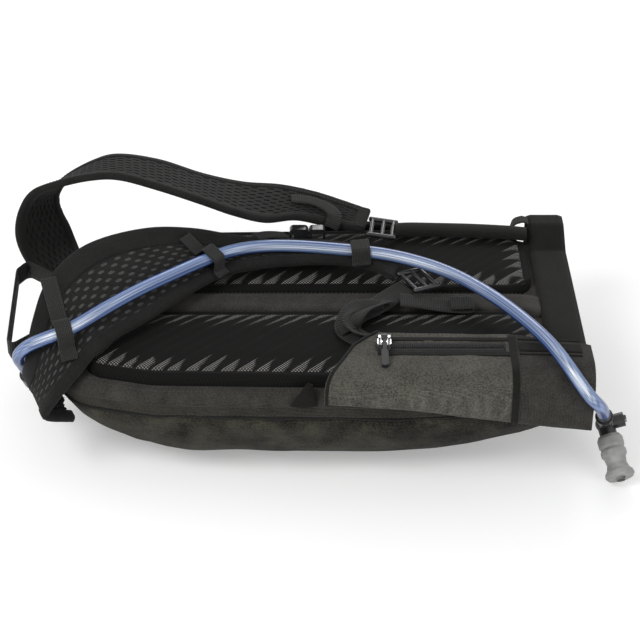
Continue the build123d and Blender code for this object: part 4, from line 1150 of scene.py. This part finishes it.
tail_side = [(60, 104.8), (70, 103.8), (82, 101.6), (96, 99.4), (109, 98.6), (114, 99.3), (115.4, 101.2),
             (113, 102.6), (106, 102.2), (98, 102.0)]
tail = smooth_line([(x, -16.5, z) for x, z in tail_side], 60)
ribbon("near_tail", tail, (0, 1, 0.04), 17.0, WEB_THICK, *WEBBING_OF_PACK, ["near_webbing_tail"])

FOLDS = [
    ([(50, -14, 102.4), (42, -24, 104.4), (33, -33, 106.6), (26, -42, 107.2), (22, -50, 105.2),
      (26, -57, 102.4), (35, -60, 101.2)], 14.0),
    ([(45, -20, 103.6), (36, -26, 106.4), (27, -31, 108.4), (19, -39, 107.6), (17, -48, 104.6),
      (21, -56, 101.9)], 11.0),
]
for number, (middles, wide) in enumerate(FOLDS):
    line = smooth_line(middles, 50)
    lean = np.sin(np.linspace(0.3, 5.4, 50))[:, None] * np.array([[0.1, -0.2, 0.75 - 1.3 * number]])
    across = unit(level_ways(line)) + lean
    ribbon(f"near_webbing_fold_{number}", line, across, wide, WEB_THICK, *WEBBING_OF_PACK)

roll = smooth_line([(60.5, 93.5, 101.4), (72, 93.2, 102.2), (90, 93, 102.0), (120, 92.6, 101.4),
                    (150, 91, 100.6), (165, 90, 99.6)], 70)
ribbon("far_padded_edge", roll, (0, 1, 0), 17.0, 8.2, smooth_cloth, "pack", "webbing",
       ["far_adjuster_webbing"], selvedge=0.0, flat_steps=15, round_power=2)

level_web("near_sternum", [(-50, 52.5, 119), (-41, 58, 117.8), (-33, 63, 115), (-26.5, 67, 112)], 12.0,
          "near_sternum_webbing")
LOOP_EDGES = [      # points on one edge and on the other
    (-24, 86, 131.2, -22, 98, 131.6), (-8, 87, 128.4, -6, 99, 128.8), (3, 84.5, 124.6, 7, 95, 125.0),
    (7, 79, 122.5, 16, 85, 122.0), (4.5, 75.3, 118.4, 16, 76.0, 118), (3.2, 74.1, 114.6, 14, 73.9, 114.6)]
both = smooth_line(LOOP_EDGES, 40)
left, right = both[:, :3], both[:, 3:]
ribbon("far_sternum", (left + right) / 2, right - left, 11.6, WEB_THICK, *WEBBING_OF_PACK,
       ["far_sternum_webbing"])

# %% Side gusset tab
TAB_FOOT = np.array([-22, -118.0, 79.5]), np.array([-1.5, -118.2, 79.5])
TAB_TIP = np.array([-9, -113.5, 96.0]), np.array([-5, -113.8, 95.0])
rows = []
for t in np.linspace(0, 1, 10):
    left, right = (foot * (1 - t) + point * t for foot, point in zip(TAB_FOOT, TAB_TIP))
    bulge = 2.2 * (1 - t)
    rows.append([left * (1 - u) + right * u - np.array([0, bulge * math.sin(math.pi * u), 0])
                 for u in np.linspace(0, 1, 12)])
gusset = thicken(skin("gusset_tab", np.array(rows) * MM), 0.0016)
dress(face_out(gusset), smooth_cloth, "pack")

# %% Elastic loops over the hose
def strap_up(stations, i):
    """The upward way of a strap at a station."""
    before, here, after = (np.asarray(stations[k], float) for k in (i - 1, i, i + 1))
    forward = after.sum(axis=0) - before.sum(axis=0)
    return unit(np.cross(here[1] - here[0], forward))


def edge_point(stations, side, at):
    """A point on a strap's edge, at a station or a share of the way to the next."""
    i = int(at)
    a, b = (np.asarray(stations[k][side], float) for k in (i, min(i + 1, len(stations) - 1)))
    return a + (b - a) * (at - i)


BAND_CLEAR = 1.2            # from the hose to the middle of the band


def hose_band(name, run, share, outer_at, inner_at, far_reach, near_reach, width, drop, node):
    """Elastic over the hose, square to the strap: run and share place it along the hose."""
    start, stop = np.array(TUBE_ROUTE[run], float), np.array(TUBE_ROUTE[run + 1], float)
    forward = unit(stop - start)
    across = unit(edge_point(NEAR_STRAP, 1, inner_at) - edge_point(NEAR_STRAP, 0, outer_at))
    normal = unit(np.cross(across, strap_up(NEAR_STRAP, round((outer_at + inner_at) / 2))))
    upward = np.cross(normal, across)
    slant = 1 / abs(np.dot(normal, forward))
    high = (TUBE_OUTER / 2 + BAND_CLEAR) * slant
    half, low = high + 1, -TUBE_OUTER / 2 + 0.3 - drop
    foot = half + 3
    line = rounded_line([(-far_reach, low), (-foot, low), (-half, high), (half, high), (foot, low),
                         (near_reach, low)], [2, 3, 3, 2])
    middle = start + (stop - start) * share
    place = middle + line[:, :1] * across + line[:, 1:] * upward
    ribbon(name, place, normal, width, 1.3, ribbed_elastic, "pack", "elastic", [node], flat_steps=11)
    for side in (-1, 1):
        flat = line[:, 0] * side > foot + 1
        if flat.sum() > 3:
            for edge in (-0.38, 0.38):
                sew("pack", (place[flat] + normal * width * edge + upward * 0.7) * MM)


hose_band("upper_hose_loop", 4, 0.75, 4.4, 3.45, 52, 20, 12.0, 2.2, "tube_loop_upper")
hose_band("lower_hose_loop", 9, 0.3, 6.6, 6.9, 28, 16, 12.0, 0.0, "tube_loop_lower")
hose_band("hose_keeper", 13, 0.45, 10.6, 10.7, 14, 12, 14.4, 0.0, "tube_keeper")
print("seams so far:", sum(len(v) for v in seams.values()))

# %% [markdown]
# ## Hip wings
# A near wing wraps the pack's edge like an L, so its section is a rounded L and the loft runs
# along the pack.  The tip is cut on a slant, by giving each point its own starting place.  The
# far wing stands on edge.  Cloth lies over foam, so the faces swell between the seams.
# %% Near wing
WING_THICK, HINGE_X = 8.5, 138.0
NEAR_WING = np.array([(0, 128.2, 62.5, 108, 86), (60, 128.7, 64, 108, 82), (143, 123.5, 66, 107.5, 66),
                      (196, 111.5, 72, 103, 51)], float)    # distance along, outer, inner, top, low
TIP_LINE = np.array([(-140, 0), (-124, 4), (-83, 23), (-62, 44), (-50, 44)], float)
CORNER = 16.0               # radius of the L
WING_SIDE, TAPE_BED, FAR_TAPE_BED = 104, 106.3, 1.7     # two heights, and a depth in the far wing
STITCH_UP = 0.25


def at_x(table, x, *columns):
    """A wing table's columns at a distance along."""
    values = [np.interp(x, table[:, 0], table[:, k]) for k in columns]
    return values if len(values) > 1 else values[0]


def wing_ring(x):
    """The rounded L at a distance along the pack, its points listed in the same order everywhere."""
    outer, inner, top, low = at_x(NEAR_WING, x, 1, 2, 3, 4)
    t = WING_THICK
    corners = [(inner, top), (outer, top), (outer, low), (outer - t, low), (outer - t, top - t),
               (inner, top - t)]
    ring = rounded_ring(corners, [3.2, CORNER, 4.0, 4.0, CORNER - t, 3.2], arc=9, steps=26)
    return ring * np.array([-1, 1])


WING_X = np.linspace(0, 196, 50)
WING_TABLE = np.array([wing_ring(x) for x in WING_X])


def near_wing_rows(shares, start, stop, padding):
    """Rows of the wing: start is a distance along, or None for the slanted tip."""
    rows = []
    guess = wing_ring(60)
    begin = at_x(TIP_LINE, guess[:, 0], 1) if start is None else np.full(len(guess), start)
    for share in shares:
        x = begin + (stop - begin) * share
        ring = [[np.interp(v, WING_X, WING_TABLE[:, i, k]) for k in (0, 1)] for i, v in enumerate(x)]
        rows.append(np.column_stack([x, ring]))
    rows = np.array(rows)
    y, level = rows[..., 1], rows[..., 2]
    swell = padding * np.sin(math.pi * np.asarray(shares))[:, None]
    on_top = np.clip((level - (level.max(axis=1, keepdims=True) - 1.2)) / 1.2, 0, 1)
    rows[..., 2] += swell * on_top * np.sin(math.pi * np.clip((y + 124) / 58, 0, 1))
    return rows


def pucker(rows, amount, seed):
    """Two sizes of gentle waves over a face."""
    normal = unit(np.cross(np.gradient(rows, axis=1), np.gradient(rows, axis=0)))
    points, n = rows.reshape(-1, 3), normal.reshape(-1, 3)
    points = slack(points, n, amount, 0.035, (1, 1, 1), seed)
    points = slack(points, n, amount * 0.5, 0.11, (1, 1, 1), seed + 3)
    return points.reshape(rows.shape)


HALF_GAP = 0.3              # half the gap between a wing and its root
ZIP_X, ZIP_Y, ZIP_LONG = 86.5, -84.0, 93.0


def zip_dip(along, middle, half_long, off):
    """1 where the cloth sinks to the zip's tape, 0 beside it; off is the distance from its line."""
    beside = np.clip((6.6 - np.abs(off)) / 1.2, 0, 1)
    return beside * np.clip((half_long - np.abs(along - middle)) / 1.5 + 0.6, 0, 1)


rows = near_wing_rows(np.linspace(0, 1, 80), None, HINGE_X - HALF_GAP, 0.8)
dip = zip_dip(rows[..., 0], ZIP_X, ZIP_LONG / 2, rows[..., 1] - ZIP_Y) * (rows[..., 2] > WING_SIDE)
rows = pucker(rows, 0.55, 11.0)
rows[..., 2] -= dip * (rows[..., 2] - TAPE_BED)
near_wing = closed_form("near_wing_cloth", rows * MM, olive_cloth, "near_wing", ["near_wing"])
closed_cord("near_wing_tip_binding", rows[1] * MM, 0.0013, binding_tape, "near_wing")
WING_END = 196.0
rows = pucker(near_wing_rows(np.linspace(0, 1, 30), HINGE_X + HALF_GAP, WING_END, 0.2), 0.35, 17.0)
near_root = closed_form("near_wing_root_cloth", rows * MM, panel_grey, "pack",
                        ["near_wing_root"])


def on_top(y_of, stations, lift):
    """A line on the wing's top face, lifted off it: y_of gives its place across."""
    return np.array([(x, y_of(x), at_x(NEAR_WING, x, 3) + lift) for x in stations])


def beside_zip(offset, stations, lift):
    """A line on the wing's top, at an offset from the zip."""
    return on_top(lambda x: ZIP_Y + offset, stations, lift)


for offset in (3.0, 5.6):
    for body, start, stop in (("near_wing", 46, 136), ("pack", 140, 194)):
        seam = on_top(lambda x: -at_x(NEAR_WING, x, 2) - offset, np.arange(start, stop, 1.5), STITCH_UP)
        sew(body, seam * MM)
for offset in (-8.0, 8.0):
    sew("near_wing", beside_zip(offset, np.arange(38, 134, 1.5), STITCH_UP) * MM)
for letter, offset, wide in (("a", -9.6, 6.0), ("b", 9.0, 5.0)):
    ribbon(f"near_zip_facing_{letter}", beside_zip(offset, np.linspace(41, 136, 60), 0.35), (0, 1, 0), wide,
           1.0, smooth_cloth, "near_wing", "panel_fabric")

# %% Cover over the near wing's fold
def outer_face(x):
    """The outward points of the rounded L, from its inner edge over the corner."""
    outer, inner, top, low = at_x(NEAR_WING, x, 1, 2, 3, 4)
    side, level = outer - CORNER, top - CORNER
    over = [(-y, top) for y in np.linspace(inner + 4, side, 14)]
    turn = [(-(side + CORNER * math.sin(a)), level + CORNER * math.cos(a))
            for a in np.linspace(0.12, math.pi / 2, 9)]
    down = [(-outer, z) for z in np.linspace(level - 3, low + 1.5, 8)]
    return np.array(over + turn + down)


def fold_cover(name, rows, proud):
    """A strip that lies over the bend between the pack and a wing: proud is its thickness in mm."""
    cover = face_out(thicken(skin(name, np.asarray(rows, float) * MM), proud * MM, 0))
    cover.data.materials.append(smooth_cloth)
    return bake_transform(cover)


def lifted(x, amount):
    """The outer face at a distance along, lifted off the cloth."""
    face = outer_face(x)
    run = np.gradient(face, axis=0)
    out = unit(np.column_stack([run[:, 1], -run[:, 0]]))
    out *= np.sign((out * (face - (-60, 40))).sum(axis=1, keepdims=True))
    return np.column_stack([np.full(len(face), x), face + out * amount])


rows = [lifted(x, 0.5) for x in np.linspace(HINGE_X - 2.4, HINGE_X + 2.4, 11)]
fold_cover("near_fold_cover", rows, 0.9)
sew("pack", smooth_line(lifted(HINGE_X + 5.5, 0.4), 90) * MM)
CLEAR_OF_ZIP = 8.0          # the slider stops between these stitches, so they leave it room
for back in (5.5, 8.0):
    across = smooth_line(lifted(HINGE_X - back, 0.4), 90)
    beside = np.abs(across[:, 1] - ZIP_Y) > CLEAR_OF_ZIP
    for part in np.split(across, np.flatnonzero(np.diff(beside)) + 1):
        if abs(part[len(part) // 2, 1] - ZIP_Y) > CLEAR_OF_ZIP:
            sew("near_wing", part * MM)
for name, offset, wide in (("2_a", -9.6, 2.0), ("2_b", 9.0, 2.0), ("12_a", -0.3, 12.0)):
    line = on_top(lambda x: ZIP_Y + offset + (x - HINGE_X) * 0.07, np.linspace(HINGE_X + 4.5, 188, 50), 0.3)
    ribbon(f"root_zip_band_{name}", line, (0, 1, 0), wide, 1.1, smooth_cloth, "pack", "panel_fabric")

# %% Far wing
FAR_WING = np.array([(0, 120.2, 93, 66), (60, 120.6, 89, 52), (138, 115.8, 80, 42), (196, 93, 80, 38)],
                    float)  # distance along, inner, top, low
FAR_ZIP_X, FAR_ZIP_Z, FAR_ZIP_LONG = 72, 72, 90


def far_ring(x, crown):
    """The far wing's upright section, its outer face crowned."""
    inner, top, low = at_x(FAR_WING, x, 1, 2, 3)
    outer = inner + WING_THICK
    ring = rounded_ring([(inner, low), (outer, low), (outer, top), (inner, top)], [3.0] * 4, arc=7, steps=22)
    face = np.clip((ring[:, 0] - outer + 0.5) / 0.5, 0, 1)
    ring[:, 0] += face * crown * np.sin(math.pi * np.clip((ring[:, 1] - low) / (top - low), 0, 1))
    return ring


def far_rows(start, stop, count, crown):
    """The far wing's sections, crowned most in the middle."""
    rows = []
    for t, x in zip(np.linspace(0, 1, count), np.linspace(start, stop, count)):
        ring = far_ring(x, crown * math.sin(math.pi * t))
        rows.append(np.column_stack([np.full(len(ring), x), ring]))
    return np.array(rows)


rows = far_rows(0, HINGE_X - HALF_GAP, 60, 0.6)
dip = zip_dip(rows[..., 0], FAR_ZIP_X, FAR_ZIP_LONG / 2, rows[..., 2] - FAR_ZIP_Z)
dip *= rows[..., 1] > at_x(FAR_WING, rows[..., 0], 1) + 5
rows[..., 1] -= dip * FAR_TAPE_BED
far_wing = closed_form("far_wing_cloth", rows * MM, smooth_cloth, "far_wing", ["far_wing"])
closed_cord("far_wing_tip_binding", rows[1] * MM, 0.0013, binding_tape, "far_wing")
rows = far_rows(HINGE_X + HALF_GAP, WING_END, 26, 0.3)
far_root = closed_form("far_wing_root_cloth", rows * MM, smooth_cloth, "pack",
                       ["far_wing_root"])
rows = []
for x in np.linspace(HINGE_X - 3.5, HINGE_X + 3.5, 11):
    inner, top, low = at_x(FAR_WING, x, 1, 2, 3)
    rows.append([(x, inner + WING_THICK + 0.7, z) for z in np.linspace(low + 3, top - 3, 16)])
fold_cover("far_fold_cover", rows, 1.0)

# %% [markdown]
# ## Zips
# A coil zip is a pair of tapes with a row of small loops on each.  The tree that lays stitches
# lays the loops too, bigger and closer together.
# %% Zips
COIL = bead_tree("zip_coil", 0.0013, (0.0028, 0.0016, 0.00085), 2)
TAPE_WIDE, TAPE_DOWN, COIL_ASIDE, COIL_UP = 11.2, 0.75, 1.25, 0.55


def zip_piece(name, origin, along, out, length, body, node):
    """Tape in the groove and two rows of loops that meet in its middle."""
    origin, along, out = np.array(origin, float), unit(along), unit(out)
    across = np.cross(out, along)
    half = length / 2
    stations = np.linspace(0.3 - half, half - 0.3, 60)
    tape_line = np.array([origin + along * t - out * TAPE_DOWN for t in stations])
    ribbon(name + "_tape", tape_line, across, TAPE_WIDE, 1.0, ribbed_elastic, body, "zip_coil", [node])
    for letter, side in (("a", -1), ("b", 1)):
        middle = origin + across * side * COIL_ASIDE + out * COIL_UP
        line = [(middle + along * t) * MM for t in (1 - half, 0, half - 1)]
        coil = lay_mesh(f"{name}_coil_{letter}", line, [], edges=[(0, 1), (1, 2)])
        run_tree(coil, COIL, Finish=zip_black)
        dress(coil, zip_black, body, [node])


zip_piece("near_zip", (ZIP_X, ZIP_Y, 108), (1, 0, 0), (0, 0, 1), ZIP_LONG, "near_wing", "near_zip_track")
zip_piece("far_zip", (FAR_ZIP_X, 128.2, FAR_ZIP_Z), (-1, 0.035, 0), (0.035, 1, 0), FAR_ZIP_LONG, "far_wing",
          "far_zip_track")
zip_piece("top_zip", (-210.8, 0, 63), (0, -1, 0), (-1, 0, 0), 76, "pack", "top_zip_track")
print("zips: 3")

# %% [markdown]
# ## Sewing it together
# Now every seam line that was gathered becomes thread, one mesh for each body.
# %% Sew the seams
thread_black = moulded("thread_black", (0.020, 0.020, 0.021), 0.6)


def thread_mesh(name, lines, material):
    """One mesh of edges for all the lines, turned to stitches."""
    points, edges = [], []
    for line in lines:
        first = len(points)
        points += list(line)
        edges += [(first + i, first + i + 1) for i in range(len(line) - 1)]
    return run_tree(lay_mesh(name, points, [], edges), STITCHES, Finish=material)


for body, lines in sorted(seams.items()):
    piece = thread_mesh(f"stitches_{body}", lines, thread_black)
    dress(piece, thread_black, body)
    print("stitches on", body, len(piece.data.polygons) // 20)

# %% [markdown]
# ## Floor and light
# A flat white floor, which the camera sees as nearly pure white, and three large soft lamps.
# %% Floor
def pale_where_seen(tree):
    """1 for rays that should see the white backdrop: camera, mirror and see-through rays."""
    path = tree.nodes.new("ShaderNodeLightPath")
    seen = maths(tree, "MAXIMUM", path.outputs["Is Camera Ray"], path.outputs["Is Glossy Ray"])
    return maths(tree, "MAXIMUM", seen, path.outputs["Is Transmission Ray"])


WHITE = (1, 1, 1, 1)
FLOOR_HALF, FLOOR_Z = 4, -0.0004
corners = [(x * FLOOR_HALF, y * FLOOR_HALF, FLOOR_Z) for x, y in ((-1, -1), (1, -1), (1, 1), (-1, 1))]
floor = lay_mesh("floor", corners, [(0, 1, 2, 3)])
floor_paint, tree, shader = new_material("floor_paint")
feed(tree, shader, Base_Color=(0.86, 0.86, 0.86, 1), Roughness=0.9, Specular_IOR_Level=0.1,
     Emission_Strength=maths(tree, "MULTIPLY", pale_where_seen(tree), 0.24), Emission_Color=WHITE)
floor.data.materials.append(floor_paint)

# %% Light
world = bpy.data.worlds.new("studio")
bpy.context.scene.world = world
world.use_nodes = True
tree = world.node_tree
level = put(tree, "ShaderNodeMapRange", Value=pale_where_seen(tree), To_Min=0.55, To_Max=1.0)
feed(tree, tree.nodes["Background"], Strength=level.outputs[0], Color=WHITE)


def lamp(name, place, size, watts):
    """A soft square lamp that points at the pack."""
    light = bpy.data.lights.new(name, "AREA")
    light.shape = "SQUARE"
    light.size = size
    light.energy = watts
    holder = add_object(name, light)
    holder.location = place
    holder.rotation_euler = (TARGET - Vector(place)).to_track_quat("-Z", "Y").to_euler()


lamp("key_lamp", (-0.8, -0.9, 1.3), 0.7, 14)
lamp("fill_lamp", (1.2, -1.6, 0.6), 1.2, 13)
lamp("rim_lamp", (0.2, 1.5, 1.1), 0.6, 7)
bpy.context.scene.view_settings.view_transform = "Standard"
print("lamps: 3")
